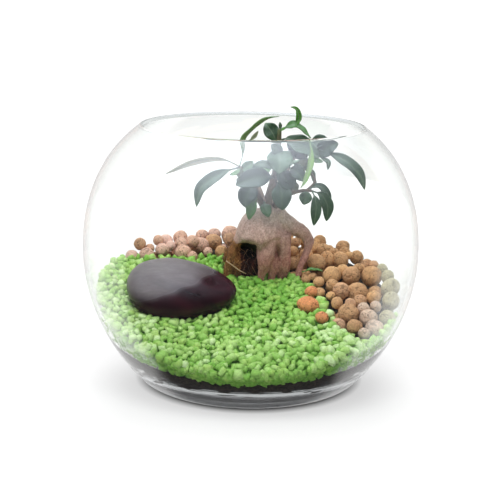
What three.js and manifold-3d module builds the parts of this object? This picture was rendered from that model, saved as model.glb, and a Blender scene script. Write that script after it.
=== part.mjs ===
// Glass fishbowl terrarium with a ginseng ficus: a blown glass bowl holding a bank of potting soil, a
// dressing of green gravel in front, expanded clay pebbles behind, a polished black stone, and the ficus
// on its swollen roots. Millimetres, +Z up. The origin is at the middle of the bowl's flat base, and the
// photographed side faces -Y.
import * as THREE from "three";
import { mergeVertices } from "three/addons/utils/BufferGeometryUtils.js";
import Module from "manifold-3d";

const wasm = await Module();
wasm.setup();

// ---- driving dimensions -------------------------------------------------------------------------

const BOWL_RADIUS = 120; // outside, at the widest ring
const BOWL_HEIGHT = 185.4;
const WIDEST_HEIGHT = 95.6;
const UPPER = { reach: 110.9, power: 2.27 }; // the wall above the widest ring, as a quarter of a superellipse
const LOWER = { reach: 127.4, power: 1.894 };
const FOOT_RADIUS = 71; // the flat ring that the bowl stands on
const HEEL_HEIGHT = 5; // where the rounded heel meets the wall
const WALL = 3;
const FLOOR = 10; // the thick glass base
const FLOOR_FLAT_RADIUS = 65;
const FLOOR_BEND_HEIGHT = 17; // on the outside, level with the end of the inner floor's bend
const BOWL_SIDES = 48;
const GAP = 0.3; // between pieces that touch

const SOIL_LEVEL = 47; // over the bowl's axis
const BANK_SLOPE = 0.24; // the filling climbs towards the back
const DRESSING_LEVEL = 56; // the top of the gravel, over the axis
const DISH = 0.00095; // and it climbs the glass at both sides, with the square of x
const CLAY_BANK = 11; // how far the clay pebbles rise over the gravel's level behind the plant
const CLAY_BANK_RUN = 22; // the width of the strip in which they do
const CLAY_LEVEL = 88; // and where they level out

const GRAIN = { edge: 6.2, crown: 1.8, valley: -1.6, jitter: 1.8 };
const PEBBLE = { least: 4.8, most: 8.6, tries: 900, spots: 24, seed: 11, sunk: 1.1, under: 9, shown: 4.5 };

// Seen from above, the clay pebbles lie behind this line from the left wall to the right wall.
const CLAY_EDGE = [
  [-120, 33], [-87, 52], [-62, 60], [-40, 66], [-15, 71], [8, 64], [30, 43],
  [46, 21], [53, 0], [56, -20], [62, -42], [74, -57], [108, -78],
];

const STONE = { centre: [-49.2, -9, 67], half: [39.6, 29, 15.5], tilt: 23, turn: 5, lean: 5.5, taper: 0.22 };

// ---- materials ----------------------------------------------------------------------------------

const finish = (color, roughness) => new THREE.MeshStandardMaterial({ color, roughness, metalness: 0 });
const CLEAR_GLASS = finish(0xdfeee8, 0.04);
const SOIL = finish(0x1f1712, 0.95);
const GREEN_GRAVEL = finish(0x6cbf3f, 0.45);
const FIRED_CLAY = finish(0x9c6a48, 0.85);
const BLACK_STONE = finish(0x2a2529, 0.18);
const BARK = finish(0x9c8470, 0.75);
const PEAT = finish(0x3b1e0d, 0.9);
const LEAF = finish(0x2f5a2c, 0.35);

// ---- solids -------------------------------------------------------------------------------------

// The solid of a closed geometry. Faces that collapse at a pole or an axis are dropped, and one that came
// inside out is turned.
function solidOf(geometry) {
  const bare = new THREE.BufferGeometry().setAttribute("position", geometry.getAttribute("position"));
  if (geometry.index) bare.setIndex(geometry.index);
  const merged = mergeVertices(bare, 1e-4);
  const corner = merged.index.array;
  const kept = [];
  for (let i = 0; i < corner.length; i += 3) {
    const [a, b, c] = [corner[i], corner[i + 1], corner[i + 2]];
    if (a !== b && b !== c && a !== c) kept.push(a, b, c);
  }
  const vertProperties = merged.attributes.position.array;
  const build = (order) =>
    new wasm.Manifold(new wasm.Mesh({ numProp: 3, vertProperties, triVerts: new Uint32Array(order) }));
  const made = build(kept);
  if (made.volume() > 0) return made;
  for (let i = 0; i < kept.length; i += 3) [kept[i + 1], kept[i + 2]] = [kept[i + 2], kept[i + 1]];
  return build(kept);
}

const joined = (solids) => solids.reduce((whole, next) => whole.add(next));

// The largest body of a solid, without the scraps that a cut leaves.
const mainBody = (solid) => solid.decompose().sort((a, b) => b.volume() - a.volume())[0];

function nodeOf(name, solid, material) {
  const mesh = mainBody(solid).getMesh();
  const geometry = new THREE.BufferGeometry()
    .setAttribute("position", new THREE.BufferAttribute(new Float32Array(mesh.vertProperties), 3))
    .setIndex(new THREE.BufferAttribute(new Uint32Array(mesh.triVerts), 1));
  const node = new THREE.Mesh(geometry, material);
  node.name = name;
  return node;
}

// A closed surface through rings of equally many points, with a fan over each end.
function lofted(rings) {
  const sides = rings[0].length;
  const points = rings.flat();
  const index = [];
  for (let k = 0; k + 1 < rings.length; k++) {
    for (let s = 0; s < sides; s++) {
      const [a, b] = [k * sides + s, k * sides + ((s + 1) % sides)];
      index.push(a, b, b + sides, a, b + sides, a + sides);
    }
  }
  const last = (rings.length - 1) * sides;
  for (let s = 1; s + 1 < sides; s++) index.push(0, s + 1, s, last, last + s, last + s + 1);
  return new THREE.BufferGeometry().setFromPoints(points).setIndex(index);
}

// The same run of pseudo-random numbers on every machine.
function dice(seed) {
  let state = seed >>> 0;
  return () => {
    state = (Math.imul(state, 1664525) + 1013904223) >>> 0;
    return state / 4294967296;
  };
}

const clamp01 = (t) => Math.min(1, Math.max(0, t));
const smooth = (t) => clamp01(t) ** 2 * (3 - 2 * clamp01(t));

// ---- bowl ---------------------------------------------------------------------------------------

function outerRadius(z) {
  const { reach, power } = z > WIDEST_HEIGHT ? UPPER : LOWER;
  return BOWL_RADIUS * (1 - (Math.abs(z - WIDEST_HEIGHT) / reach) ** power) ** (1 / power);
}

// The point that lies a depth inside the outer wall, square to it, at the outer height z, as (radius, height).
function wallPoint(z, depth) {
  const step = 0.01;
  const slope = (outerRadius(z + step) - outerRadius(z - step)) / (2 * step);
  const length = Math.hypot(1, slope);
  return new THREE.Vector2(outerRadius(z) - depth / length, z + (depth * slope) / length);
}

function bendPoints(from, corner, to, pieces) {
  return new THREE.QuadraticBezierCurve(from, corner, to).getPoints(pieces);
}

// The cavity's outline from the axis up to the rim, with its wall a depth inside the outer face.
function cavityOutline(depth, floor, wallSteps = 8) {
  const bendTop = wallPoint(FLOOR_BEND_HEIGHT, depth);
  const corner = new THREE.Vector2(FLOOR_FLAT_RADIUS + 19, floor);
  const floorEdge = new THREE.Vector2(FLOOR_FLAT_RADIUS, floor);
  const outline = [new THREE.Vector2(0, floor), ...bendPoints(floorEdge, corner, bendTop, 3)];
  for (let k = 1; k <= wallSteps; k++) {
    const z = FLOOR_BEND_HEIGHT + ((BOWL_HEIGHT - FLOOR_BEND_HEIGHT) * k) / wallSteps;
    outline.push(wallPoint(Math.min(z, BOWL_HEIGHT - 0.02), depth));
  }
  return outline;
}

const turned = (outline) => new THREE.LatheGeometry(outline, BOWL_SIDES).rotateX(Math.PI / 2);

function glassBowl() {
  const heel = bendPoints(
    new THREE.Vector2(FOOT_RADIUS, 0),
    new THREE.Vector2(outerRadius(0.02), 0),
    new THREE.Vector2(outerRadius(HEEL_HEIGHT), HEEL_HEIGHT),
    2,
  );
  const outer = [new THREE.Vector2(0, 0), ...heel];
  const steps = 5; // below the widest ring, and again above it
  for (const [from, to] of [[HEEL_HEIGHT, WIDEST_HEIGHT], [WIDEST_HEIGHT, BOWL_HEIGHT - 1.5]]) {
    for (let k = 1; k <= steps; k++) {
      const z = from + ((to - from) * k) / steps;
      outer.push(new THREE.Vector2(outerRadius(z), z));
    }
  }
  const inner = cavityOutline(WALL, FLOOR).reverse();
  const lipTop = new THREE.Vector2((outer.at(-1).x + inner[0].x) / 2, BOWL_HEIGHT); // the fire-polished lip
  return solidOf(turned([...outer, lipTop, ...inner]));
}

// What may be filled: everything inside the glass, up to the rim, a gap clear of it.
function cavity(gap) {
  const outline = cavityOutline(WALL + gap, FLOOR + gap);
  return solidOf(turned([...outline, new THREE.Vector2(0, outline.at(-1).y)]));
}

// ---- the bank of filling ------------------------------------------------------------------------

const soilTop = (y) => SOIL_LEVEL + BANK_SLOPE * y;
const gravelTop = (x, y) => DRESSING_LEVEL + BANK_SLOPE * y + DISH * x * x;

function clayEdgeAt(x) {
  let k = 0;
  while (k < CLAY_EDGE.length - 2 && x > CLAY_EDGE[k + 1][0]) k++;
  const [x0, y0] = CLAY_EDGE[k];
  const [x1, y1] = CLAY_EDGE[k + 1];
  const slope = (y1 - y0) / (x1 - x0);
  return { y: y0 + slope * (x - x0), slope };
}

// How far a place lies behind the line where the clay pebbles begin.
function depthInClay(x, y) {
  const edge = clayEdgeAt(x);
  return (y - edge.y) / Math.hypot(1, edge.slope);
}

// The bank of clay pebbles fades out along the right wall, where they only fill up to the gravel's level.
function clayTop(x, y) {
  const bank = CLAY_BANK * (1 - smooth((x - 40) / 60));
  return Math.min(CLAY_LEVEL, gravelTop(x, y) + bank * smooth(depthInClay(x, y) / CLAY_BANK_RUN));
}

// A block whose top is a net of triangles. heightAt is told which points are the crowns of grains: a third
// of them, each ringed by six others.
function slab(edge, floor, heightAt, shift = () => [0, 0]) {
  const half = BOWL_RADIUS + edge;
  const rowStep = (edge * Math.sqrt(3)) / 2;
  const columns = Math.ceil((2 * half) / edge);
  const rows = Math.ceil((2 * half) / rowStep);
  const points = [];
  for (let j = 0; j <= rows; j++) {
    for (let i = 0; i <= columns; i++) {
      const crown = (((i - Math.floor(j / 2) - j) % 3) + 3) % 3 === 0;
      const [dx, dy] = shift();
      const x = -half + (i + (j % 2) / 2) * edge + dx;
      const y = -half + j * rowStep + dy;
      points.push(new THREE.Vector3(x, y, heightAt(x, y, crown)));
    }
  }
  const at = (i, j) => j * (columns + 1) + i;
  const index = [];
  for (let j = 0; j < rows; j++) {
    for (let i = 0; i < columns; i++) {
      const [a, b, c, d] = [at(i, j), at(i + 1, j), at(i, j + 1), at(i + 1, j + 1)];
      if (j % 2) index.push(a, b, d, a, d, c);
      else index.push(a, b, c, b, d, c);
    }
  }
  const rim = [];
  for (let i = 0; i < columns; i++) rim.push(at(i, 0));
  for (let j = 0; j < rows; j++) rim.push(at(columns, j));
  for (let i = columns; i > 0; i--) rim.push(at(i, rows));
  for (let j = rows; j > 0; j--) rim.push(at(0, j));
  const below = points.length;
  for (const k of rim) points.push(new THREE.Vector3(points[k].x, points[k].y, floor));
  const middle = points.length;
  points.push(new THREE.Vector3(0, 0, floor));
  rim.forEach((top, k) => {
    const next = (k + 1) % rim.length;
    index.push(top, below + k, rim[next], rim[next], below + k, below + next);
    index.push(below + k, middle, below + next);
  });
  return solidOf(new THREE.BufferGeometry().setFromPoints(points).setIndex(index));
}

// Everything under the soil's sloping top, raised by a lift.
function underSoil(lift = 0) {
  const half = BOWL_RADIUS + 10;
  const outline = new THREE.Shape([
    new THREE.Vector2(-half, -20),
    new THREE.Vector2(half, -20),
    new THREE.Vector2(half, soilTop(half) + lift),
    new THREE.Vector2(-half, soilTop(-half) + lift),
  ]);
  const block = new THREE.ExtrudeGeometry(outline, { depth: 2 * half, bevelEnabled: false });
  return solidOf(block.rotateX(Math.PI / 2).rotateZ(Math.PI / 2).translate(-half, 0, 0));
}

// Everything that lies at least a depth behind the clay's edge, seen from above.
function behindClayEdge(depth) {
  const line = CLAY_EDGE.map(([x, y]) => {
    const { slope } = clayEdgeAt(x + 0.01);
    const length = Math.hypot(1, slope);
    return new THREE.Vector2(x - (depth * slope) / length, y + depth / length);
  });
  const far = BOWL_RADIUS + 20;
  const outline = new THREE.Shape([
    new THREE.Vector2(-far, line[0].y),
    ...line,
    new THREE.Vector2(far, line.at(-1).y),
    new THREE.Vector2(far, far),
    new THREE.Vector2(-far, far),
  ]);
  return solidOf(new THREE.ExtrudeGeometry(outline, { depth: BOWL_HEIGHT, bevelEnabled: false }));
}

// ---- ficus: trunk and aerial roots --------------------------------------------------------------

// Each limb is a row of [x, y, z, radius], from where it grows out of the body to its end.
const LIMBS = {
  body: [
    [12.5, 40, 125, 4.2], [12, 40, 120.5, 5], [12.5, 40, 115.5, 9.8], [10.5, 40, 109, 15],
    [8.5, 40, 101.5, 18.5], [8, 40, 95.5, 19.5], [12, 41, 90, 14], [14.5, 42, 84, 9],
  ],
  leftLeg: [
    [2, 39, 102, 10.5], [-5, 38, 94, 8.2], [-11, 38, 85.5, 5.8], [-14.5, 38, 76, 4.4], [-17.5, 39, 65, 3.6],
    [-18.5, 39, 55, 2.6],
  ],
  middleLeg: [
    [13, 34, 95, 10], [12.2, 31, 87.5, 7.4], [11, 30, 80, 6], [10, 31, 73.5, 4.6], [8.6, 32, 67.5, 2.8],
    [8, 33, 57, 1.8],
  ],
  secondLeg: [
    [21.5, 36, 96, 8.4], [24.3, 35, 88, 5.8], [24.8, 36, 80, 5.2], [24.5, 38, 72.5, 5.2], [24, 40, 65.5, 3.8],
    [23.5, 41, 56.5, 2.3],
  ],
  arm: [
    [18.5, 40, 112, 8.3], [26, 40, 106.7, 6.6], [33.5, 40, 102.4, 5.7], [39.7, 40, 98.6, 4.9],
    [43.2, 39.5, 94.3, 4.2], [43.6, 39, 90, 3.5], [42.4, 38, 85, 3.2], [39.8, 37, 78.5, 2.8], [37, 36, 72, 2.4],
    [35.5, 36, 58, 1.8],
  ],
  backLeft: [
    [2, 48, 98, 10], [-3, 55, 88, 7.4], [-6, 59, 76, 5.6], [-8, 61, 60, 3.6],
  ],
  backRight: [
    [17, 48, 98, 9], [22, 54, 88, 7], [25, 58, 76, 5.4], [27, 60, 60, 3.4],
  ],
};
const LIMB_SIDES = { body: 14, default: 9 };
const LIMB_DEPTH = 0.9; // limbs are a little flatter front to back
const ROOT_BALL = { centre: [-5, 45, 74.5], half: [15, 12, 18.5], lumps: 0.1 };

// A round closed solid along a row of [x, y, z, radius], grown by an extra all over.
function limb(stations, sides, extra = 0) {
  const path = stations.map(([x, y, z]) => new THREE.Vector3(x, y, z));
  const rings = stations.map(([, , , radius], k) => {
    const last = path.length - 1;
    const along = path[Math.min(k + 1, last)].clone().sub(path[Math.max(k - 1, 0)]).normalize();
    const across = new THREE.Vector3(0, 1, 0).cross(along).normalize();
    const deep = along.clone().cross(across);
    const beyond = k === 0 ? -extra : k === last ? extra : 0;
    const middle = path[k].clone().addScaledVector(along, beyond);
    return Array.from({ length: sides }, (_, s) => {
      const angle = (2 * Math.PI * s) / sides;
      return middle
        .clone()
        .addScaledVector(across, (radius + extra) * Math.cos(angle))
        .addScaledVector(deep, (radius * LIMB_DEPTH + extra) * Math.sin(angle));
    });
  });
  return solidOf(lofted(rings));
}

function trunk(extra = 0) {
  const limbs = Object.entries(LIMBS).map(([name, stations]) =>
    limb(stations, LIMB_SIDES[name] ?? LIMB_SIDES.default, extra),
  );
  return joined(limbs);
}

// The fibrous peat that still clings under the trunk.
function rootBall(extra = 0) {
  const ball = new THREE.IcosahedronGeometry(1, 2);
  const place = ball.getAttribute("position");
  const [hx, hy, hz] = ROOT_BALL.half;
  for (let k = 0; k < place.count; k++) {
    const [x, y, z] = [place.getX(k), place.getY(k), place.getZ(k)];
    const swell = 1 + ROOT_BALL.lumps * Math.sin(5 * x + 2) * Math.cos(4 * y - 3 * z);
    place.setXYZ(k, x * (hx * swell + extra), y * (hy * swell + extra), z * (hz * swell + extra));
  }
  return solidOf(ball.translate(...ROOT_BALL.centre));
}

// ---- ficus: leafy shoots ------------------------------------------------------------------------

// A leaf is told by the points its rib runs through, from where its stalk leaves the twig to its tip, by its
// width, and by either the way its face looks or the way across it.
const leaf = (rib, width, attitude) => ({ rib, width, ...attitude });
const FRONT = { face: [0, -1, 0.35] };
const HALF = { face: [0, -0.75, 0.75] };
const TOP = { face: [0, 0, 1] };
const EDGE = { side: [0, -1, -0.15] }; // seen nearly edge on
const ROLLED = { side: [0.3, -0.8, -0.5] };

// A shoot is its twigs, each along rows of [x, y, z, radius], and the leaves on them.
const SHOOTS = {
  leader: {
    twigs: [
      [
        [12.5, 40, 123, 3.4], [15, 37, 135, 3.1], [17.5, 33, 147.5, 2.6], [19, 30, 161.5, 2.2],
        [19.5, 28, 178.5, 1.5],
      ],
      [[17.5, 33, 147, 2.2], [25, 32, 153.5, 1.9], [33.5, 30, 160, 1.6], [42, 28, 164, 1.3], [48, 27, 166, 1]],
    ],
    leaves: [
      leaf([[18, 30, 166.5], [15.5, 31, 173], [12.5, 33, 177.5], [9, 36, 181.5]], 11.5, FRONT),
      leaf([[19.5, 28, 177.5], [20, 28, 180.5], [19.5, 28, 183.5]], 2.4, FRONT),
      leaf([[19.5, 28, 177], [31, 24, 184], [33, 22, 190], [30.5, 20, 195.5], [26, 19, 196.5]], 4.5, HALF),
      leaf(
        [[20, 28, 177], [25.5, 25, 181], [37.5, 16, 178], [41, 10, 169.5], [40, 6, 157.5], [34, 3, 139.5]],
        8,
        ROLLED,
      ),
      leaf([[19.5, 30, 169.5], [26, 27, 171.5], [34.5, 22, 168], [43, 18, 163.5], [48, 16, 159.5]], 14.5, HALF),
      leaf([[19, 29, 166], [19.5, 24, 161.5], [20, 18, 156], [19, 14, 148]], 19, FRONT),
      leaf([[39, 29, 163], [45.5, 30, 169], [54.5, 30, 172], [62.5, 30, 163.5]], 13, HALF),
      leaf([[48.5, 27, 166], [59.5, 24, 164.5], [71, 19, 156.5], [79.5, 15, 147], [81.5, 12, 137]], 9.5, HALF),
      leaf([[43.5, 28, 164.5], [50, 24, 160.5], [55, 22, 156.5], [54.5, 21, 150]], 4.5, HALF),
      leaf([[40, 28, 163.5], [43.5, 25, 159], [47, 23, 156], [51.5, 22, 155]], 6, HALF),
      leaf([[47.5, 27, 166], [50.5, 23, 165], [54, 20, 161], [56.5, 19, 155]], 3.5, HALF),
    ],
  },
  left: {
    twigs: [
      [[8.5, 39, 117.5, 2.8], [4.5, 35.5, 128, 2.5], [0, 31, 138.5, 2], [-4.5, 27, 146, 1.6], [-9, 25, 151, 1]],
    ],
    leaves: [
      leaf([[-9, 25, 151], [-7.5, 26, 163], [-5, 27, 174], [3.5, 28, 183.5], [19, 29, 187.5]], 9, EDGE),
      leaf([[-6.4, 27, 168], [-2, 27, 171], [2.5, 28, 175], [2.5, 28, 178]], 3.5, HALF),
      leaf([[-9, 25, 151], [-17.5, 23, 156], [-30, 20, 157.5], [-46.5, 16, 154], [-62.5, 12, 146.5]], 8, EDGE),
      leaf([[-9, 25, 151], [-19, 22, 148.5], [-31, 18, 144.5], [-39.5, 15, 135.5], [-39.5, 12, 122]], 9, FRONT),
      leaf([[-8.5, 25, 150.5], [-6.5, 25, 154], [-4, 26, 158], [-1, 27, 160.5]], 6.5, HALF),
      leaf([[-8, 25, 150.5], [-11.5, 22, 147], [-16.5, 20, 145.5]], 3.5, HALF),
      leaf([[0, 31, 138.5], [3, 30, 147], [6.5, 29, 151.5], [11.5, 28, 155]], 9, HALF),
      leaf([[1, 32, 137], [1.5, 25, 133.5], [-0.5, 21, 128.5], [-3, 19, 122.5]], 13, FRONT),
    ],
  },
  front: {
    twigs: [
      [[12.5, 34, 117, 2.7], [13, 31.5, 126, 2.3], [14, 28.5, 135, 2], [17, 25, 142, 1.7], [25.5, 21, 152, 1]],
    ],
    leaves: [
      leaf([[18.5, 24.5, 143], [11.5, 21, 145], [0, 16, 144], [-12.5, 12, 137.5]], 15.5, FRONT),
      leaf([[18.5, 24.5, 143.5], [24, 22, 145], [28.5, 20, 142.5], [33, 19, 138]], 10, FRONT),
      leaf([[25.5, 21, 152], [29, 20, 151], [33.5, 17, 148], [37.5, 15, 142.5]], 10, FRONT),
      leaf([[16.5, 25.5, 141], [20.5, 21, 137.5], [22, 18, 130], [22.5, 18, 120.5]], 14.5, FRONT),
      leaf([[13.5, 30.5, 129], [13, 25, 126], [11.5, 22, 121], [10.5, 21, 114.5]], 8, FRONT),
      leaf([[13.5, 30.5, 129], [7, 26, 127], [1, 23, 121.5], [-2.5, 22, 113.5]], 6.5, HALF),
    ],
  },
  right: {
    twigs: [
      [
        [16.5, 38.5, 117, 2.7], [21.5, 35.5, 125.5, 2.1], [29, 32, 130.5, 1.6], [37.5, 28, 133.5, 1.3],
        [44, 25, 134, 1],
      ],
      [[40, 27, 133.5, 1], [46.5, 29, 140.5, 0.8], [43.5, 31, 146, 0.6]],
    ],
    leaves: [
      leaf([[37.5, 28, 133.5], [38.5, 25, 133], [37.5, 23, 130], [34.5, 22, 127]], 9.5, FRONT),
      leaf([[44, 25, 134], [46.5, 22, 129], [47, 20, 120.5], [45.5, 19, 109]], 8, FRONT),
      leaf([[44, 25, 134], [52, 24, 131], [57.5, 23, 122.5], [56, 22, 112]], 9, FRONT),
      leaf([[41, 26.5, 134], [48, 27, 137.5], [54.5, 27, 133.5], [58.5, 27, 125.5]], 6, HALF),
    ],
  },
  back_left: {
    twigs: [[[9.5, 43, 116, 2.6], [6, 50, 129, 2.2], [2, 57, 136, 1.6]]],
    leaves: [
      leaf([[2, 57, 136], [-2, 68, 140], [-5, 80, 136], [-6, 92, 126]], 15, TOP),
      leaf([[2.5, 56, 135], [-4, 62, 137], [-10, 67, 132], [-13, 72, 124]], 13, TOP),
      leaf([[4, 54, 133], [8, 66, 141], [10, 76, 144], [11, 86, 142]], 14, TOP),
      leaf([[6.5, 49, 128], [3, 56, 125], [0, 62, 117], [-1, 66, 108]], 12, TOP),
    ],
  },
  back_right: {
    twigs: [[[15.5, 42.5, 116, 2.6], [19, 50, 131, 2.2], [24, 58, 140, 1.7], [28, 64, 145, 1.2]]],
    leaves: [
      leaf([[28, 64, 145], [33, 74, 149], [37, 84, 146], [39, 94, 137]], 16, TOP),
      leaf([[26.5, 62, 143], [36, 66, 145], [44, 69, 140], [49, 71, 131]], 14, TOP),
      leaf([[24, 58, 140], [22, 70, 148], [21, 80, 151], [20, 90, 148]], 14, TOP),
      leaf([[20, 51.5, 132], [28, 58, 131], [34, 64, 124], [37, 69, 114]], 13, TOP),
    ],
  },
};
// A dropped leaf lies on the clay pebbles.
const FALLEN_LEAF = leaf([[38.5, 33, 70.4], [46, 33, 72.2], [54.5, 34, 71.2]], 6.5, TOP);
const TWIG_SIDES = 6;
const LEAF_THICKNESS = 0.8;
const STALK = { share: 0.16, halfWidth: 0.7 }; // the leaf's stalk, as a share of its length
const LEAF_STATIONS = [0, 0.16, 0.34, 0.58, 0.82, 1];
const LEAF_CUP = 0.16; // how far each half of a blade stands up from the rib, as a share of its half width

// Half the leaf's width at a share of its length: a stalk, then an egg-shaped blade with a short tip.
function leafHalfWidth(share, width) {
  if (share <= STALK.share) return STALK.halfWidth;
  const t = (share - STALK.share) / (1 - STALK.share);
  const blade = (width / 2) * Math.sin(Math.PI * t ** 0.88) ** 0.75;
  return Math.max(blade, 0.35);
}

function leafBlade({ rib, width, face, side }) {
  const points = rib.map((point) => new THREE.Vector3(...point));
  const spine = new THREE.CatmullRomCurve3(points, false, "centripetal");
  const rings = LEAF_STATIONS.map((share) => {
    const middle = spine.getPointAt(share);
    const along = spine.getTangentAt(share);
    const across = side
      ? new THREE.Vector3(...side).addScaledVector(along, -along.dot(new THREE.Vector3(...side)))
      : along.clone().cross(new THREE.Vector3(...face));
    across.normalize();
    const up = across.clone().cross(along).normalize();
    const half = leafHalfWidth(share, width);
    const edge = (sign, height) =>
      middle.clone().addScaledVector(across, sign * half).addScaledVector(up, half * LEAF_CUP + height);
    const thick = LEAF_THICKNESS / 2;
    const ribTop = middle.clone().addScaledVector(up, thick);
    const ribBelow = middle.clone().addScaledVector(up, -thick);
    return [edge(-1, -thick), ribBelow, edge(1, -thick), edge(1, thick), ribTop, edge(-1, thick)];
  });
  return solidOf(lofted(rings));
}

function shoot({ twigs, leaves }) {
  return joined([...twigs.map((twig) => limb(twig, TWIG_SIDES)), ...leaves.map(leafBlade)]);
}

// ---- clay pebbles -------------------------------------------------------------------------------

// Single pebbles that lie in the gravel in front of the pile, as [x, y, half length, half width, turn].
const LOOSE_PEBBLES = [
  [42, -10, 8.4, 6.2, -30],
  [45, 9, 5, 4.2, 20],
  [51, -29, 4.8, 4.2, -25],
];
const LOOSE_RISE = 1.5; // their middles lie this far over the gravel's level

function loosePebble([x, y, long, wide, turn], extra = 0) {
  const ball = new THREE.IcosahedronGeometry(1, 1).scale(long + extra, wide + extra, wide + extra);
  ball.rotateZ(THREE.MathUtils.degToRad(turn));
  return solidOf(ball.translate(x, y, gravelTop(x, y) + LOOSE_RISE));
}

function clearOfTrunk(x, y, z, radius) {
  return Object.values(LIMBS).flat().every(
    ([lx, ly, lz, lr]) => Math.hypot(x - lx, y - ly, z - lz) > radius + lr + 1,
  );
}

// The pebbles at the pile's face, which the photographed side shows, as [x, y, z, radius].
const FACE_PEBBLES = [
  [72.7, 79.2, 80.3, 5.3], [82.5, 63.9, 75.3, 5.5], [76.4, 60.3, 77.7, 3.2], [69, 54.7, 75.2, 6.4],
  [64.4, 62.8, 77.9, 4.8], [56.9, 67.7, 79.3, 5.7], [49.4, 73.8, 79.6, 5.5], [51.5, 80.4, 83, 3.1],
  [50.3, 47.7, 74.6, 6.8], [58.8, 54, 76.2, 5.6], [61.3, 32, 68.6, 6.9], [70.2, 40.8, 70.1, 4.9],
  [75.9, 31.9, 68.5, 7.2], [89.3, 51.6, 71.4, 5.4], [82.6, 42.5, 70.9, 4.7], [94.1, 45.5, 73.6, 3.9],
  [91.8, 34.7, 67.5, 8.1], [100.3, 40.7, 71.3, 4.8], [103.6, 28.4, 68.9, 5.1], [103.8, 10.2, 65, 7.3],
  [102.8, -4.7, 59.2, 6.7], [97, -29.1, 53.1, 5.9], [66.7, 7.4, 62.8, 6.4], [79, 11, 60.5, 8.1],
  [90.3, 0.5, 60, 5.4], [90.2, -14.7, 57.6, 4.3], [81, -18.3, 56.6, 4.8], [70.1, -22.9, 54.3, 7.4],
  [84, -26.9, 52.6, 6.4], [56.9, -16.5, 50.7, 4.5], [62.5, -33.2, 48.2, 5.7], [73.3, -38.4, 49.3, 5.6],
  [86.7, -41.2, 49.1, 6.4], [78.8, -49.2, 48, 4], [72, -14, 58.9, 4.2], [41.7, 39.7, 66.3, 4.5],
  [35.1, 76.8, 83.5, 4], [33.3, 66.1, 78.9, 4], [32.3, 56.6, 70.9, 5], [-72.5, 73.6, 84, 4.3],
  [-78.6, 67.2, 79, 3.6], [-69, 68.1, 77.9, 5.5], [-62.8, 73.4, 79.9, 4.1], [-80.5, 60, 75.3, 5.8],
  [-54.4, 77, 81, 5.3], [-45.8, 79.1, 82.8, 5.1], [-39.9, 86.1, 77.5, 7], [-52.5, 68.5, 76.1, 6.1],
  [-29.7, 91.8, 79.6, 6.7], [-16.8, 106.3, 82.5, 7.2], [-23.1, 78.3, 74.7, 4.9], [-45.1, 64.4, 73.5, 4.2],
  [-33.6, 74.8, 75.3, 3.6],
];

// Drops pebbles one by one onto those already placed, up to a height over the pile's top. Each tries several
// spots, takes the lowest, and rests on the soil or on others.
function dropPebbles(placed, roll, height) {
  for (let n = 0; n < PEBBLE.tries; n++) {
    const radius = PEBBLE.least + (PEBBLE.most - PEBBLE.least) * roll() ** 1.4;
    let best = null;
    for (let spot = 0; spot < PEBBLE.spots; spot++) {
      const angle = 2 * Math.PI * roll();
      const out = BOWL_RADIUS * Math.sqrt(roll());
      const [x, y] = [out * Math.cos(angle), out * Math.sin(angle)];
      if (depthInClay(x, y) < radius * 0.4) continue;
      let z = soilTop(y) + radius;
      for (const p of placed) {
        const away = Math.hypot(x - p.x, y - p.y);
        const touching = radius + p.radius;
        if (away < touching) z = Math.max(z, p.z + Math.sqrt(touching ** 2 - away ** 2));
      }
      if (z > WIDEST_HEIGHT || out + radius > outerRadius(z) - WALL - 1.5) continue;
      if (z + radius > clayTop(x, y) + height || !clearOfTrunk(x, y, z, radius)) continue;
      if (!best || z < best.z) best = { x, y, z, radius };
    }
    if (best) placed.push(best);
  }
}

function pebblePile() {
  const roll = dice(PEBBLE.seed);
  const placed = LOOSE_PEBBLES.map(([x, y, long]) => {
    return { x, y, z: gravelTop(x, y) + LOOSE_RISE, radius: long + 1, loose: true };
  });
  dropPebbles(placed, roll, -PEBBLE.under); // the lower layers, then the face, then the gaps that it leaves
  placed.push(...FACE_PEBBLES.map(([x, y, z, radius]) => ({ x, y, z, radius })));
  dropPebbles(placed, roll, 1);
  return placed.filter((p) => !p.loose);
}

function pebbleBall({ x, y, z, radius }, extra = 0) {
  const ball = new THREE.DodecahedronGeometry(radius * PEBBLE.sunk + extra);
  return solidOf(ball.rotateZ(x).rotateX(y).translate(x, y, z)); // turned by its place, so no two look alike
}

// ---- stone --------------------------------------------------------------------------------------

function blackStone(extra = 0) {
  const pebble = new THREE.IcosahedronGeometry(1, 2);
  const place = pebble.getAttribute("position");
  for (let k = 0; k < place.count; k++) {
    const x = place.getX(k);
    const narrow = 1 - STONE.taper * x; // the blunt end lies on the left
    const [hx, hy, hz] = STONE.half;
    const [y, z] = [place.getY(k), place.getZ(k)];
    place.setXYZ(k, x * (hx + extra), y * (hy * narrow + extra), z * (hz * narrow + extra));
  }
  const angle = THREE.MathUtils.degToRad;
  pebble.rotateZ(angle(STONE.turn)).rotateY(angle(STONE.lean)).rotateX(angle(STONE.tilt));
  return solidOf(pebble.translate(...STONE.centre));
}

// ---- assembly -----------------------------------------------------------------------------------

const terrarium = new THREE.Group();
const filled = cavity(GAP);
const trunkSolid = trunk();
const trunkRoom = trunk(GAP);
const soilRoom = underSoil(GAP);

terrarium.add(nodeOf("glass_bowl", glassBowl(), CLEAR_GLASS));
terrarium.add(nodeOf("potting_soil", filled.intersect(underSoil()), SOIL));
terrarium.add(nodeOf("trunk", trunkSolid.subtract(soilRoom), BARK));
terrarium.add(nodeOf("root_ball", rootBall().subtract(soilRoom).subtract(trunkRoom), PEAT));
terrarium.add(nodeOf("black_stone", blackStone(), BLACK_STONE));

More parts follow.
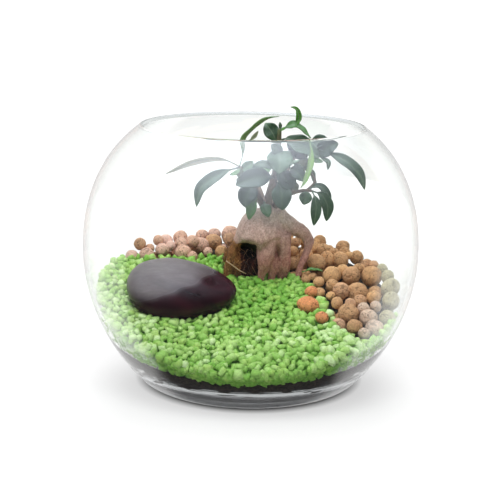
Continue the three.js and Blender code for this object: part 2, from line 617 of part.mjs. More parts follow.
const planted = trunkRoom.add(rootBall(GAP));
const shown = pebblePile().filter(({ x, y, z, radius }) => z + radius > clayTop(x, y) - PEBBLE.shown);
const coreInset = 5;
const core = cavity(GAP + coreInset)
  .intersect(slab(20, 0, (x, y) => clayTop(x, y) - 6.5))
  .intersect(behindClayEdge(coreInset));
const clay = joined([core, ...shown.map((p) => pebbleBall(p))])
  .intersect(filled)
  .subtract(soilRoom)
  .subtract(planted);
terrarium.add(nodeOf("clay_pebbles", clay, FIRED_CLAY));

const grainDice = dice(5);
const grainShift = () => [GRAIN.jitter * (grainDice() - 0.5), GRAIN.jitter * (grainDice() - 0.5)];
const grains = slab(
  GRAIN.edge,
  0,
  (x, y, crown) => gravelTop(x, y) + (crown ? GRAIN.crown + grainDice() - 0.5 : GRAIN.valley),
  grainShift,
);
const nearEdge = shown.filter(({ x, y, radius }) => depthInClay(x, y) < coreInset + radius * PEBBLE.sunk + 1);
const clayRoom = joined([behindClayEdge(coreInset - GAP), ...nearEdge.map((p) => pebbleBall(p, GAP))]);
const loose = LOOSE_PEBBLES.map((p) => loosePebble(p, GAP));
const gravel = filled
  .intersect(grains)
  .subtract(soilRoom)
  .subtract(clayRoom)
  .subtract(planted)
  .subtract(joined([blackStone(GAP), ...loose]));
terrarium.add(nodeOf("green_gravel", gravel, GREEN_GRAVEL));
LOOSE_PEBBLES.forEach((p, k) => terrarium.add(nodeOf(`loose_pebble_${k + 1}`, loosePebble(p), FIRED_CLAY)));

terrarium.add(nodeOf("fallen_leaf", leafBlade(FALLEN_LEAF), LEAF));
for (const [name, plan] of Object.entries(SHOOTS)) {
  terrarium.add(nodeOf(`shoot_${name}`, shoot(plan).subtract(trunkRoom), LEAF));
}

export default terrarium;
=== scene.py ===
import math

import bmesh
import bpy
from mathutils import Matrix, Vector, noise
from mathutils.bvhtree import BVHTree


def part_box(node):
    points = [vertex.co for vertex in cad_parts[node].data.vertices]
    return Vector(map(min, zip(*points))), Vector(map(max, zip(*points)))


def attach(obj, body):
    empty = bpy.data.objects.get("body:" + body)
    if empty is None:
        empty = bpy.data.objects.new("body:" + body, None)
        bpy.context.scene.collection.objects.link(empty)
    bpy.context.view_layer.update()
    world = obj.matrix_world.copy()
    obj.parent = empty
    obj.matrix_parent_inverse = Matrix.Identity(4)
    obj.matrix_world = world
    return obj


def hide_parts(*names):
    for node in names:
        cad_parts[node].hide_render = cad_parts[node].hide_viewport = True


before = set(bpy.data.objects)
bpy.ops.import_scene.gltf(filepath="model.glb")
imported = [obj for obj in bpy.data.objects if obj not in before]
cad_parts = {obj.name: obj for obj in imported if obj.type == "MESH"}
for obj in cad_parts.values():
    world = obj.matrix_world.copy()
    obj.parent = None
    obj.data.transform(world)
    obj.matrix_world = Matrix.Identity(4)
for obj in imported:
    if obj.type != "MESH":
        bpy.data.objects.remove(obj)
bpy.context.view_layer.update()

# ---- camera ------------------------------------------------------------------------------------
# The photograph looks slightly down on the bowl through a longer lens. Its distance, tilt and roll
# were fitted to the bowl's outline, rim and base.

MM = 0.001
AIM = Vector((0, 0, 95.6)) * MM
VIEW_DISTANCE = 935.8 * MM
VIEW_TILT = math.radians(12.68)
VIEW_ROLL = math.radians(0.99)

lens = bpy.data.cameras.new("camera")
lens.sensor_width = 36
lens.lens = 93.6
lens.shift_x, lens.shift_y = -0.0014, -0.0037  # the bowl stands a little off the picture's middle
lens.clip_start = 0.01
camera = bpy.data.objects.new("camera", lens)
bpy.context.scene.collection.objects.link(camera)
back = Vector((0, -math.cos(VIEW_TILT), math.sin(VIEW_TILT)))
turn = Matrix.Rotation(math.pi / 2 - VIEW_TILT, 4, "X") @ Matrix.Rotation(VIEW_ROLL, 4, "Z")
camera.matrix_world = Matrix.Translation(AIM + back * VIEW_DISTANCE) @ turn
bpy.context.scene.camera = camera

# ---- studio ------------------------------------------------------------------------------------
# A white table in an even white room, with soft lamps overhead, on the left and behind. Glossy things
# mirror something else: a bank of light over the front, dark level with the bowl and brighter and
# brighter above, and a white wall low down behind the bowl and beside it.

bpy.context.scene.view_settings.view_transform = "Standard"
bpy.context.scene.view_settings.look = "None"
bpy.context.scene.cycles.max_bounces = 40
bpy.context.scene.cycles.glossy_bounces = 24
bpy.context.scene.cycles.transmission_bounces = 40
bpy.context.scene.cycles.transparent_max_bounces = 32

ROOM_LIGHT = 1.12
BANK_PEAK = 5.4
BANK_TINT = (0.90, 0.945, 1.1)
BANK_HEIGHTS = [  # height, radiance
    (0.0, 0.07), (0.20, 0), (0.45, 0.6), (0.62, 1.6), (0.76, 2.4), (0.87, 3.8), (1.0, BANK_PEAK),
]
BANK_LEAN = -0.2  # the bank stands a little to the left
WALL_BEHIND = [(0.2, 0), (0.36, 1.4), (0.62, 1.4), (0.85, 1.15), (1.0, 0.88)]  # how far behind, radiance
SIDE_SHARE = 0.28  # what lies straight to the sides counts as behind too
FADES_IN_BEHIND = (0.1, 0.46)
WALL_TOP = (0.6, 0.3)  # the wall's light fades out upwards between these heights
WALL_FOOT = (-0.77, -0.63)  # and downwards between these
FOOT_LIFT = 0.3  # at the sides it reaches a little further down


def feed(tree, socket, given):
    """Gives a socket another node's output, a number, a vector or a colour."""
    if isinstance(given, bpy.types.NodeSocket):
        tree.links.new(given, socket)
    elif socket.type == "RGBA":
        socket.default_value = (*given, 1)
    else:
        socket.default_value = given


def math_of(tree, operation, *given):
    """The value of a Math node."""
    node = tree.nodes.new("ShaderNodeMath")
    node.operation = operation
    for socket, value in zip(node.inputs, given):
        feed(tree, socket, value)
    return node.outputs["Value"]


def parts_of(tree, vector):
    """The X, Y and Z of a vector."""
    node = tree.nodes.new("ShaderNodeSeparateXYZ")
    feed(tree, node.inputs["Vector"], vector)
    return node.outputs


def ranged(tree, value, low, high, start=0.0, end=1.0, fade="LINEAR"):
    """A value carried from one range to another, and kept in it."""
    node = tree.nodes.new("ShaderNodeMapRange")
    node.interpolation_type = fade
    names = ("Value", "From Min", "From Max", "To Min", "To Max")
    for name, given in zip(names, (value, low, high, start, end)):
        feed(tree, node.inputs[name], given)
    return node.outputs["Result"]


def colours_of(tree, value, stops):
    """The colour that a ramp of (position, colour) gives for a value."""
    ramp = tree.nodes.new("ShaderNodeValToRGB")
    elements = ramp.color_ramp.elements
    while len(elements) < len(stops):
        elements.new(0.5)
    for element, (position, colour) in zip(elements, stops):
        element.position = position
        element.color = (*colour, 1)
    feed(tree, ramp.inputs["Fac"], value)
    return ramp.outputs["Color"]


def mixed(tree, share, first, second, blend="MIX"):
    """Two colours mixed."""
    mix = tree.nodes.new("ShaderNodeMix")
    mix.data_type = "RGBA"
    mix.blend_type = blend
    for name, given in (("Factor", share), ("A", first), ("B", second)):
        feed(tree, mix.inputs[name], given)
    return mix.outputs["Result"]


def either(tree, share, first, second):
    """The first shader where the share is 0, the second where it is 1."""
    mix = tree.nodes.new("ShaderNodeMixShader")
    for socket, given in zip(mix.inputs, (share, first, second)):
        feed(tree, socket, given)
    return mix.outputs["Shader"]


def radiance(tree, value, stops, tint):
    """The colour of the light along a row of (position, radiance), as a share of the bank's peak."""
    return colours_of(tree, value, [(at, [bright / BANK_PEAK * c for c in tint]) for at, bright in stops])


room = bpy.data.worlds.new("white_room")
room.use_nodes = True
room.cycles.sampling_method = "NONE"
tree = room.node_tree
way = parts_of(tree, tree.nodes.new("ShaderNodeTexCoord").outputs["Generated"])
bank_height = math_of(tree, "MULTIPLY_ADD", way["X"], BANK_LEAN, way["Z"])
squared = math_of(tree, "MULTIPLY", way["X"], way["X"])
fourth = math_of(tree, "MULTIPLY", squared, squared)
far_back = math_of(tree, "MULTIPLY_ADD", fourth, SIDE_SHARE, way["Y"])
behind = ranged(tree, far_back, *FADES_IN_BEHIND, fade="SMOOTHSTEP")
low_down = ranged(tree, way["Z"], *WALL_TOP, fade="SMOOTHSTEP")
lifted = math_of(tree, "MULTIPLY_ADD", squared, FOOT_LIFT, way["Z"])
above_foot = ranged(tree, lifted, *WALL_FOOT, fade="SMOOTHSTEP")
on_the_wall = math_of(tree, "MULTIPLY", behind, math_of(tree, "MULTIPLY", low_down, above_foot))
bank = radiance(tree, bank_height, BANK_HEIGHTS, BANK_TINT)
wall_behind = radiance(tree, far_back, WALL_BEHIND, (1, 1, 1))
shown_in_gloss = tree.nodes.new("ShaderNodeBackground")
feed(tree, shown_in_gloss.inputs["Strength"], BANK_PEAK)
feed(tree, shown_in_gloss.inputs["Color"], mixed(tree, on_the_wall, bank, wall_behind))
even_room = tree.nodes["Background"]
feed(tree, even_room.inputs["Color"], (1, 1, 1))
feed(tree, even_room.inputs["Strength"], ROOM_LIGHT)
depth = tree.nodes.new("ShaderNodeLightPath").outputs["Glossy Depth"]
mirrored_once = math_of(tree, "COMPARE", depth, 1, 0.5)
sky = either(tree, mirrored_once, even_room.outputs["Background"], shown_in_gloss.outputs["Background"])
feed(tree, tree.nodes["World Output"].inputs["Surface"], sky)
bpy.context.scene.world = room


def soft_lamp(name, place, size, power):
    lamp = bpy.data.lights.new(name, "AREA")
    lamp.shape = "RECTANGLE"
    lamp.size, lamp.size_y = size
    lamp.energy = power
    light = bpy.data.objects.new(name, lamp)
    light.location = place
    light.rotation_euler = (AIM - Vector(place)).to_track_quat("-Z", "Y").to_euler()
    light.visible_glossy = False
    light.visible_transmission = False
    light.visible_camera = False
    bpy.context.scene.collection.objects.link(light)


soft_lamp("overhead_light", (0.0, -0.3, 1.25), (0.9, 0.7), 10.5)
soft_lamp("left_light", (-1.1, -0.35, 0.8), (0.6, 0.6), 4)
soft_lamp("back_light", (0.0, 1.1, 0.8), (1.0, 0.5), 18)

TABLE_HALF = 1.0
TABLE_DROP = 0.0003
TABLE_WHITE = (0.3, 0.3, 0.3)
TABLE_PAINTED_GLOW = 0.53  # painted light: the table glows by itself, which thins the shadows on it
SHADED_BY_FOOT = (0.073, 0.083)  # painted shadow: under the bowl's foot the table's glow dies away between these radii
FAR_PAINTED_GLOW = 0.16  # painted light: the glow grows towards the edges, which the lamps reach less
FAR_OUT = (0.35, 1.0)


def plain_finish(name):
    """A new material with its node tree and its shader."""
    material = bpy.data.materials.new(name)
    material.use_nodes = True
    return material, material.node_tree, material.node_tree.nodes["Principled BSDF"]


def rubbed(tree, shader, roughness, specular):
    """How matt the surface is, and how much it mirrors."""
    feed(tree, shader.inputs["Roughness"], roughness)
    feed(tree, shader.inputs["Specular IOR Level"], specular)


def object_place(tree):
    return tree.nodes.new("ShaderNodeTexCoord").outputs["Object"]


ground = bmesh.new()
bmesh.ops.create_grid(ground, x_segments=1, y_segments=1, size=TABLE_HALF)
bmesh.ops.translate(ground, verts=ground.verts, vec=(0, 0, -TABLE_DROP))
table_mesh = bpy.data.meshes.new("table")
ground.to_mesh(table_mesh)
ground.free()
table = bpy.data.objects.new("table", table_mesh)
bpy.context.scene.collection.objects.link(table)

table_paint, tree, shader = plain_finish("table_white")
feed(tree, shader.inputs["Base Color"], TABLE_WHITE)
rubbed(tree, shader, 0.9, 0.0)
from_middle = tree.nodes.new("ShaderNodeVectorMath")
from_middle.operation = "LENGTH"
feed(tree, from_middle.inputs[0], object_place(tree))
radius = from_middle.outputs["Value"]
# painted light: the table glows by itself, fading out under the bowl's foot as a painted shadow and growing
# towards the edges
near_painted_glow = ranged(tree, radius, *SHADED_BY_FOOT, 0.0, TABLE_PAINTED_GLOW)
far_painted_glow = ranged(tree, radius, *FAR_OUT, 0.0, FAR_PAINTED_GLOW)
feed(tree, shader.inputs["Emission Color"], (1, 1, 1))
feed(tree, shader.inputs["Emission Strength"], math_of(tree, "ADD", near_painted_glow, far_painted_glow))
unseen = tree.nodes.new("ShaderNodeBsdfTransparent")  # gloss looks through the table, into the room below it
mirrored = math_of(tree, "GREATER_THAN", tree.nodes.new("ShaderNodeLightPath").outputs["Glossy Depth"], 0.5)
shown = either(tree, mirrored, shader.outputs["BSDF"], unseen.outputs["BSDF"])
feed(tree, tree.nodes["Material Output"].inputs["Surface"], shown)
table.data.materials.append(table_paint)

# ---- glass bowl --------------------------------------------------------------------------------
# One piece of clear blown glass, turned by its maker in a mould: a thick flat base, a wall of 3 mm, and
# a rim that was melted round in the flame. It is spun from half its section.

BOWL_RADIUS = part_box("glass_bowl")[1][0] / MM
BOWL_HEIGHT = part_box("glass_bowl")[1][2] / MM
WIDEST_HEIGHT = 95.6
UPPER = (110.9, 2.27)  # reach and power of the wall above the widest ring, a quarter of a superellipse
LOWER = (127.4, 1.894)
FOOT_RADIUS = 71.0
HEEL_HEIGHT = 5.0
WALL = 3.0
FLOOR = 10.0
FLOOR_FLAT_RADIUS = 65.0
FLOOR_BEND = 19.0  # how far out the floor would reach before it turns up
FLOOR_BEND_HEIGHT = 19.5
RIPPLED_TO = 24.0  # the mould left faint rings on the outside up to here
RIPPLES = [(0.045, 1.55, 0), (0.035, 2.9, 1)]  # two waves: how deep, how close together, and a shift
FOOT_TO = 19.0  # up to here the glass is thick, streaked with fine rings darkened as painted shade, and a little dulled
FOOT_DULLED = 0.27
FOOT_RINGS = (10, 10, 480)  # per metre: the streaks run round the foot
GLASS_TINT = (0.965, 0.985, 0.972)
STREAK_PAINTED_SHADE = (0.34, 0.33, 0.345)
STREAK_CLEAR = (0.95, 0.94, 0.97)
HEEL_PAINTED_SHADE = 0.35  # painted shade: the heel's lowest edge is painted darker than the foot above it
BELOW_RIM = 5
LIP_ROUND = 0.9
GAP = 0.3
BOWL_STEPS = 120


def outer_radius(z):
    reach, power = UPPER if z > WIDEST_HEIGHT else LOWER
    return BOWL_RADIUS * (1 - (abs(z - WIDEST_HEIGHT) / reach) ** power) ** (1 / power)


def wall_point(z, depth):
    """The point a depth inside the outer wall, square to it, as (radius, height)."""
    slope = (outer_radius(z + 0.01) - outer_radius(z - 0.01)) / 0.02
    length = math.hypot(1, slope)
    return outer_radius(z) - depth / length, z + depth * slope / length


def smooth_share(t):
    t = min(1, max(0, t))
    return t * t * (3 - 2 * t)


def bend(start, corner, end, pieces):
    points = []
    for k in range(pieces + 1):
        t = k / pieces
        blend = ((1 - t) ** 2, 2 * t * (1 - t), t * t)
        points.append(tuple(sum(w * x for w, x in zip(blend, xs)) for xs in zip(start, corner, end)))
    return points


def cavity_outline(depth, floor, steps):
    """From the axis up to the rim, with the wall a depth inside the outer face."""
    corner = (FLOOR_FLAT_RADIUS + FLOOR_BEND, floor)
    outline = [(0.0, floor)]
    outline += bend((FLOOR_FLAT_RADIUS, floor), corner, wall_point(FLOOR_BEND_HEIGHT, depth), 14)
    for k in range(1, steps):
        outline.append(wall_point(FLOOR_BEND_HEIGHT + (BOWL_HEIGHT - FLOOR_BEND_HEIGHT) * k / steps, depth))
    return outline + [wall_point(BOWL_HEIGHT - below, depth) for below in (1.9, 0.9, 0.02)]


def spun(outline, steps):
    """A closed body of revolution from its section, given from axis to axis as (radius, height) in mm."""
    mesh = bmesh.new()
    corners = [mesh.verts.new((r * MM, 0, z * MM)) for r, z in outline]
    edges = [mesh.edges.new(pair) for pair in zip(corners, corners[1:])]
    section = corners + edges
    bmesh.ops.spin(
        mesh, geom=section, cent=(0, 0, 0), axis=(0, 0, 1), angle=math.tau, steps=steps, use_merge=True,
    )
    bmesh.ops.remove_doubles(mesh, verts=mesh.verts, dist=1e-6)
    bmesh.ops.recalc_face_normals(mesh, faces=mesh.faces)
    return mesh


def piece_of(name, mesh, materials):
    data = bpy.data.meshes.new(name)
    mesh.to_mesh(data)
    mesh.free()
    for polygon in data.polygons:
        polygon.use_smooth = True
    for material in materials:
        data.materials.append(material)
    piece = bpy.data.objects.new(name, data)
    bpy.context.scene.collection.objects.link(piece)
    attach(piece, "root")
    return piece


def noise_at(tree, place, scale, detail, roughness=0.5, distortion=0.0):
    """A noise texture on a place, and its value."""
    texture = tree.nodes.new("ShaderNodeTexNoise")
    names = ("Vector", "Scale", "Detail", "Roughness", "Distortion")
    for name, given in zip(names, (place, scale, detail, roughness, distortion)):
        feed(tree, texture.inputs[name], given)
    return texture.outputs["Fac"]


def stretched(tree, place, scale):
    mapping = tree.nodes.new("ShaderNodeMapping")
    feed(tree, mapping.inputs["Scale"], scale)
    feed(tree, mapping.inputs["Vector"], place)
    return mapping.outputs["Vector"]


outline = [(0.0, 0.0)]
outline += bend((FOOT_RADIUS, 0.0), (outer_radius(0.02), 0.0), (outer_radius(HEEL_HEIGHT), HEEL_HEIGHT), 8)
heights = [HEEL_HEIGHT + (RIPPLED_TO - HEEL_HEIGHT) * k / 50 for k in range(1, 51)]
heights += [RIPPLED_TO + (BOWL_HEIGHT - BELOW_RIM - RIPPLED_TO) * k / 40 for k in range(1, 41)]
heights += [BOWL_HEIGHT - below for below in (3.4, 2.5, 2.0, 1.6)]
for z in heights:
    ripple = sum(deep * math.sin(z * close + shift) for deep, close, shift in RIPPLES)
    faded = smooth_share((z - HEEL_HEIGHT) / 2) * smooth_share((RIPPLED_TO - z) / 10)
    outline.append((outer_radius(z) + ripple * faded, z))
inner = cavity_outline(WALL, FLOOR, 40)[::-1]
lip_out = Vector(outline[-1])
lip_in = Vector(inner[0])
lip_top = Vector(((lip_out.x + lip_in.x) / 2, BOWL_HEIGHT + LIP_ROUND))
for k in range(1, 8):
    t = k / 8
    rounded = (1 - t) ** 2 * lip_out + 2 * t * (1 - t) * lip_top + t * t * lip_in
    outline.append(tuple(rounded))
outline += inner

clear_glass, tree, shader = plain_finish("clear_glass")
place = object_place(tree)
up_the_wall = parts_of(tree, place)["Z"]
# painted shade: the foot's colour is darkened in rings, and darker still at the heel's lowest edge
in_foot = ranged(tree, up_the_wall, FOOT_TO * MM, (FOOT_TO - 4) * MM)
rings = noise_at(tree, stretched(tree, place, FOOT_RINGS), 1, 2)
streaks = colours_of(tree, rings, [(0.36, STREAK_PAINTED_SHADE), (0.58, STREAK_CLEAR)])
heel_painted_shade = ranged(tree, up_the_wall, 1.5 * MM, 8 * MM, HEEL_PAINTED_SHADE)
foot_rings_and_painted_shade = mixed(tree, 1, streaks, heel_painted_shade, "MULTIPLY")
feed(tree, shader.inputs["Base Color"], mixed(tree, in_foot, GLASS_TINT, foot_rings_and_painted_shade))
feed(tree, shader.inputs["Roughness"], math_of(tree, "MULTIPLY", in_foot, FOOT_DULLED))
shader.inputs["IOR"].default_value = 1.5
shader.inputs["Transmission Weight"].default_value = 1.0
light_path = tree.nodes.new("ShaderNodeLightPath")
caught = math_of(tree, "GREATER_THAN", light_path.outputs["Glossy Depth"], 1.5)
let_out = tree.nodes.new("ShaderNodeBsdfTransparent")  # light caught in the wall, or the rim would be black
feed(tree, let_out.inputs["Color"], (0.64, 0.665, 0.66))
wall = either(tree, caught, shader.outputs["BSDF"], let_out.outputs["BSDF"])
passing = tree.nodes.new("ShaderNodeBsdfTransparent")  # the glass throws hardly any shadow
feed(tree, passing.inputs["Color"], (0.96, 0.975, 0.97))
glass = either(tree, light_path.outputs["Is Shadow Ray"], wall, passing.outputs["BSDF"])
feed(tree, tree.nodes["Material Output"].inputs["Surface"], glass)

bowl = piece_of("bowl_glass", spun(outline, BOWL_STEPS), [clear_glass])
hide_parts("glass_bowl")

# ---- potting soil ------------------------------------------------------------------------------
# Damp dark peat soil, poured in over the glass floor and banked up towards the back. It clings to the
# wall, touches the glass of the foot only in clumps, and shows there as a strip under the gravel.

SOIL_LEVEL = 47.0
BANK_SLOPE = 0.24
WETTED = 0.05  # between the soil and the wall
CLUMPS = 0.8  # how far the clumps over the foot stand in and out
CLUMPS_UNDER = 23.0
CLUMPS_PER_METRE = (90, 90, 700)
SOIL_DARK = (0.006, 0.005, 0.004)
SOIL_LIGHT = (0.075, 0.055, 0.04)


def soil_top(y):
    return SOIL_LEVEL + BANK_SLOPE * y


def raise_relief(tree, shader, height, strength, distance):
    relief = tree.nodes.new("ShaderNodeBump")
    for name, given in (("Strength", strength), ("Distance", distance), ("Height", height)):
        feed(tree, relief.inputs[name], given)
    feed(tree, shader.inputs["Normal"], relief.outputs["Normal"])


cavity = spun(cavity_outline(WALL - WETTED, FLOOR + GAP, 40) + [(0.0, BOWL_HEIGHT - 3)], BOWL_STEPS)
slope_normal = Vector((0, -BANK_SLOPE, 1)).normalized()
cut = bmesh.ops.bisect_plane(
    cavity,
    geom=cavity.verts[:] + cavity.edges[:] + cavity.faces[:],
    plane_co=Vector((0, 0, SOIL_LEVEL * MM)),
    plane_no=slope_normal,
    clear_outer=True,
)
for vertex in cavity.verts:
    low = smooth_share((CLUMPS_UNDER - vertex.co.z / MM) / 5)
    clump = noise.noise(vertex.co * Vector(CLUMPS_PER_METRE))
    vertex.co += Vector((vertex.co.x, vertex.co.y, 0)).normalized() * CLUMPS * clump * low * MM
rim_edges = [e for e in cut["geom_cut"] if isinstance(e, bmesh.types.BMEdge)]
bmesh.ops.contextual_create(cavity, geom=rim_edges)
bmesh.ops.recalc_face_normals(cavity, faces=cavity.faces)

potting_soil, tree, shader = plain_finish("potting_soil")
crumbs = noise_at(tree, object_place(tree), 900, 6)
feed(tree, shader.inputs["Base Color"], colours_of(tree, crumbs, [(0.35, SOIL_DARK), (0.75, SOIL_LIGHT)]))
raise_relief(tree, shader, crumbs, 0.9, 0.001)
shader.inputs["Roughness"].default_value = 0.85

soil = piece_of("soil_bank", cavity, [potting_soil])
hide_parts("potting_soil")

# ---- ficus trunk -------------------------------------------------------------------------------
# The swollen root body of a ginseng ficus, grey-beige and smooth, on its legs, with one aerial root
# arched over on the right. It grew as one piece, so its limbs are melted together. Its skin turns
# red-brown near the ground, and peat still covers the leg on the left.

TRUNK_LIMBS = [
    [(12.5, 40, 125, 4.2), (12, 40, 120.5, 5), (12.5, 40, 115.5, 9.8), (10.5, 40, 109, 15),
     (8.5, 40, 101.5, 18.5), (8, 40, 95.5, 19.5), (12, 41, 90, 14), (14.5, 42, 84, 9)],
    [(2, 39, 102, 10.5), (-5, 38, 94, 8.2), (-11, 38, 85.5, 5.8), (-14.5, 38, 76, 4.4), (-17.5, 39, 65, 3.6),
     (-18.5, 39, 55, 2.6)],
    [(13, 34, 95, 10), (12.2, 31, 87.5, 7.4), (11, 30, 80, 6), (10, 31, 73.5, 4.6), (8.6, 32, 67.5, 2.8),
     (8, 33, 57, 1.8)],
    [(21.5, 36, 96, 8.4), (24.3, 35, 88, 5.8), (24.8, 36, 80, 5.2), (24.5, 38, 72.5, 5.2),
     (24, 40, 65.5, 3.8), (23.5, 41, 56.5, 2.3)],
    [(18.5, 40, 112, 8.3), (26, 40, 106.7, 6.6), (33.5, 40, 102.4, 5.7), (39.7, 40, 98.6, 4.9),
     (43.2, 39.5, 94.3, 4.2), (43.6, 39, 90, 3.5), (42.4, 38, 85, 3.2), (39.8, 37, 78.5, 2.8),
     (37, 36, 72, 2.4), (35.5, 36, 58, 1.8)],
    [(2, 48, 98, 10), (-3, 55, 88, 7.4), (-6, 59, 76, 5.6), (-8, 61, 60, 3.6)],
    [(17, 48, 98, 9), (22, 54, 88, 7), (25, 58, 76, 5.4), (27, 60, 60, 3.4)],
]
LIMB_DEPTH = 0.9
LIMB_SIDES = 20
MELT = 0.8
FOLDS, KNOTS, LUMPS = 0.55, 0.22, 0.7  # how far the skin stands in and out
SLIT = {"x": 19.7, "low": 80.5, "high": 93.5, "deep": 4.5, "wide": 1.3}  # between the two front legs
MIDDLE_ROOT = [(17.5, 38, 90, 5), (17.2, 36.5, 80, 4.2), (16.6, 36, 71, 3.6), (16.2, 37, 57, 2.4)]
HOLLOW = {"x": -1.5, "z": 86.5, "wide": 7.5, "high": 7.5, "deep": 9.0}  # rotted out beside the front leg
PEAT_ON_LEG = (96.0, 4.5)  # peat clings to the skin below this height and left of this place
BROWNED = (0.080, 0.114)  # the skin turns brown between these heights
GREY_SKIN = [(0.3, (0.30, 0.225, 0.18)), (0.5, (0.50, 0.39, 0.33)), (0.7, (0.64, 0.53, 0.46))]
BROWN_SKIN = [(0.3, (0.20, 0.07, 0.058)), (0.5, (0.42, 0.185, 0.155)), (0.7, (0.60, 0.32, 0.265))]
DARK_PEAT = [(0.38, (0.005, 0.0012, 0.0008)), (0.58, (0.04, 0.006, 0.002)), (0.75, (0.19, 0.045, 0.018))]
AMBER_PEAT = [(0.36, (0.03, 0.010, 0.003)), (0.54, (0.24, 0.095, 0.03)), (0.74, (0.72, 0.42, 0.17))]
HOLLOW_PAINTED_SHADE = (0.003, 0.001, 0.0006)
HOLLOW_DEPTH = 0.3  # its painted shade reaches far into the peat, so depth counts for less than width
HOLLOW_HEART = (0, HOLLOW_DEPTH * 0.034, 0.0865)


def smooth_path(stations, steps):
    """Many stations through a few, along a Catmull-Rom curve."""
    rows = [Vector(s) for s in stations]
    dense = []
    for k in range(len(rows) - 1):
        before = rows[max(k - 1, 0)]
        after = rows[min(k + 2, len(rows) - 1)]
        for j in range(steps):
            t = j / steps
            a = rows[k] * 2
            b = (rows[k + 1] - before) * t
            c = (before * 2 - rows[k] * 5 + rows[k + 1] * 4 - after) * t * t
            d = (rows[k] * 3 - before - rows[k + 1] * 3 + after) * t ** 3
            dense.append((a + b + c + d) * 0.5)
    dense.append(rows[-1])
    return dense


def add_limb(mesh, stations, sides, depth=1.0, steps=3):
    """Bridges rings of a round limb along rows of x, y, z and radius in millimetres, and closes its ends."""
    rows = smooth_path(stations, steps)
    rings = []
    for k, row in enumerate(rows):
        along = (rows[min(k + 1, len(rows) - 1)].xyz - rows[max(k - 1, 0)].xyz).normalized()
        across = Vector((0, 1, 0)).cross(along)
        if across.length < 0.05:
            across = Vector((1, 0, 0))
        across.normalize()
        deep = along.cross(across)
        facing = Matrix((across, deep, along)).transposed().to_4x4()
        girth = Matrix.Diagonal((row.w * MM, row.w * depth * MM, 1, 1))
        place = Matrix.Translation(row.xyz * MM) @ facing @ girth
        at_an_end = k in (0, len(rows) - 1)
        ring = bmesh.ops.create_circle(mesh, segments=sides, radius=1, matrix=place, cap_ends=at_an_end)
        rings.append(list(dict.fromkeys(edge for vertex in ring["verts"] for edge in vertex.link_edges)))
    for near, far in zip(rings, rings[1:]):
        bmesh.ops.bridge_loops(mesh, edges=near + far)


def applied(piece):
    """The piece with its modifiers made part of its mesh."""
    bpy.context.view_layer.update()
    evaluated = piece.evaluated_get(bpy.context.evaluated_depsgraph_get())
    final = bpy.data.meshes.new_from_object(evaluated)
    piece.modifiers.clear()
    piece.data = final
    return piece


trunk_mesh = bmesh.new()
for stations in [*TRUNK_LIMBS, MIDDLE_ROOT]:
    add_limb(trunk_mesh, stations, LIMB_SIDES, LIMB_DEPTH)
bmesh.ops.recalc_face_normals(trunk_mesh, faces=trunk_mesh.faces)

bark, tree, shader = plain_finish("ficus_bark")
trunk = piece_of("ficus_trunk", trunk_mesh, [bark])
melt = trunk.modifiers.new("melt", "REMESH")
melt.mode = "VOXEL"
melt.voxel_size = MELT * MM
melt.use_smooth_shade = True
ease = trunk.modifiers.new("ease", "SMOOTH")
ease.factor = 0.5
ease.iterations = 9
applied(trunk)

trunk_skin = bmesh.new()
trunk_skin.from_mesh(trunk.data)
for vertex in trunk_skin.verts:
    spot = vertex.co / MM
    folds = noise.noise(Vector((spot.x * 0.3, spot.y * 0.3, spot.z * 0.055)))
    knots = noise.noise(spot * 0.45)
    lumps = noise.noise(spot * 0.12 + Vector((7, 3, 1)))
    vertex.co += vertex.normal * (FOLDS * folds + KNOTS * knots + LUMPS * lumps) * MM
    if spot.y < 40:
        height = smooth_share((spot.z - SLIT["low"]) / 3) * smooth_share((SLIT["high"] - spot.z) / 5)
        aside = math.exp(-(((spot.x - SLIT["x"]) / SLIT["wide"]) ** 2))
        vertex.co.y += SLIT["deep"] * height * aside * MM
        across, up = (spot.x - HOLLOW["x"]) / HOLLOW["wide"], (spot.z - HOLLOW["z"]) / HOLLOW["high"]
        vertex.co.y += HOLLOW["deep"] * math.exp(-((across ** 2 + up ** 2) ** 2)) * MM
trunk_skin.normal_update()
trunk_skin.to_mesh(trunk.data)
for polygon in trunk.data.polygons:
    polygon.use_smooth = True


def dappled(tree, colour, grain, *span):
    """A colour made darker and lighter by a grain, from a span of the grain to a span of the shade."""
    return mixed(tree, 1, colour, ranged(tree, grain, *span), "MULTIPLY")


def sharpened(tree, share, grain):
    """A soft share broken up by a grain, so that one material gives way to the other in crumbs."""
    broken = math_of(tree, "ADD", share, ranged(tree, grain, 0.3, 0.7, -0.3, 0.3))
    return ranged(tree, broken, 0.4, 0.6)


def peat_colours(tree, place):
    """Dark peat, amber towards the left and black in the hollow as painted shade, and its fibres' height."""
    fibres = noise_at(tree, stretched(tree, place, (1, 1, 0.55)), 520, 8, 0.7, 1.6)
    patches = noise_at(tree, place, 130, 4, 0.6)
    leftward = ranged(tree, parts_of(tree, place)["X"], -0.006, -0.012, 0.0, 0.9)
    amber_share = math_of(tree, "ADD", leftward, ranged(tree, patches, 0.35, 0.65, -0.55, 0.45))
    away = tree.nodes.new("ShaderNodeVectorMath")
    away.operation = "DISTANCE"
    feed(tree, away.inputs[0], stretched(tree, place, (1, HOLLOW_DEPTH, 1)))
    feed(tree, away.inputs[1], HOLLOW_HEART)
    # painted shade: the peat in the hollow is painted black
    hollow = sharpened(tree, ranged(tree, away.outputs["Value"], 0.0095, 0.005), patches)
    dark, amber = colours_of(tree, fibres, DARK_PEAT), colours_of(tree, fibres, AMBER_PEAT)
    tinted = mixed(tree, ranged(tree, amber_share, 0.15, 0.45), dark, amber)
    return mixed(tree, hollow, tinted, HOLLOW_PAINTED_SHADE), fibres


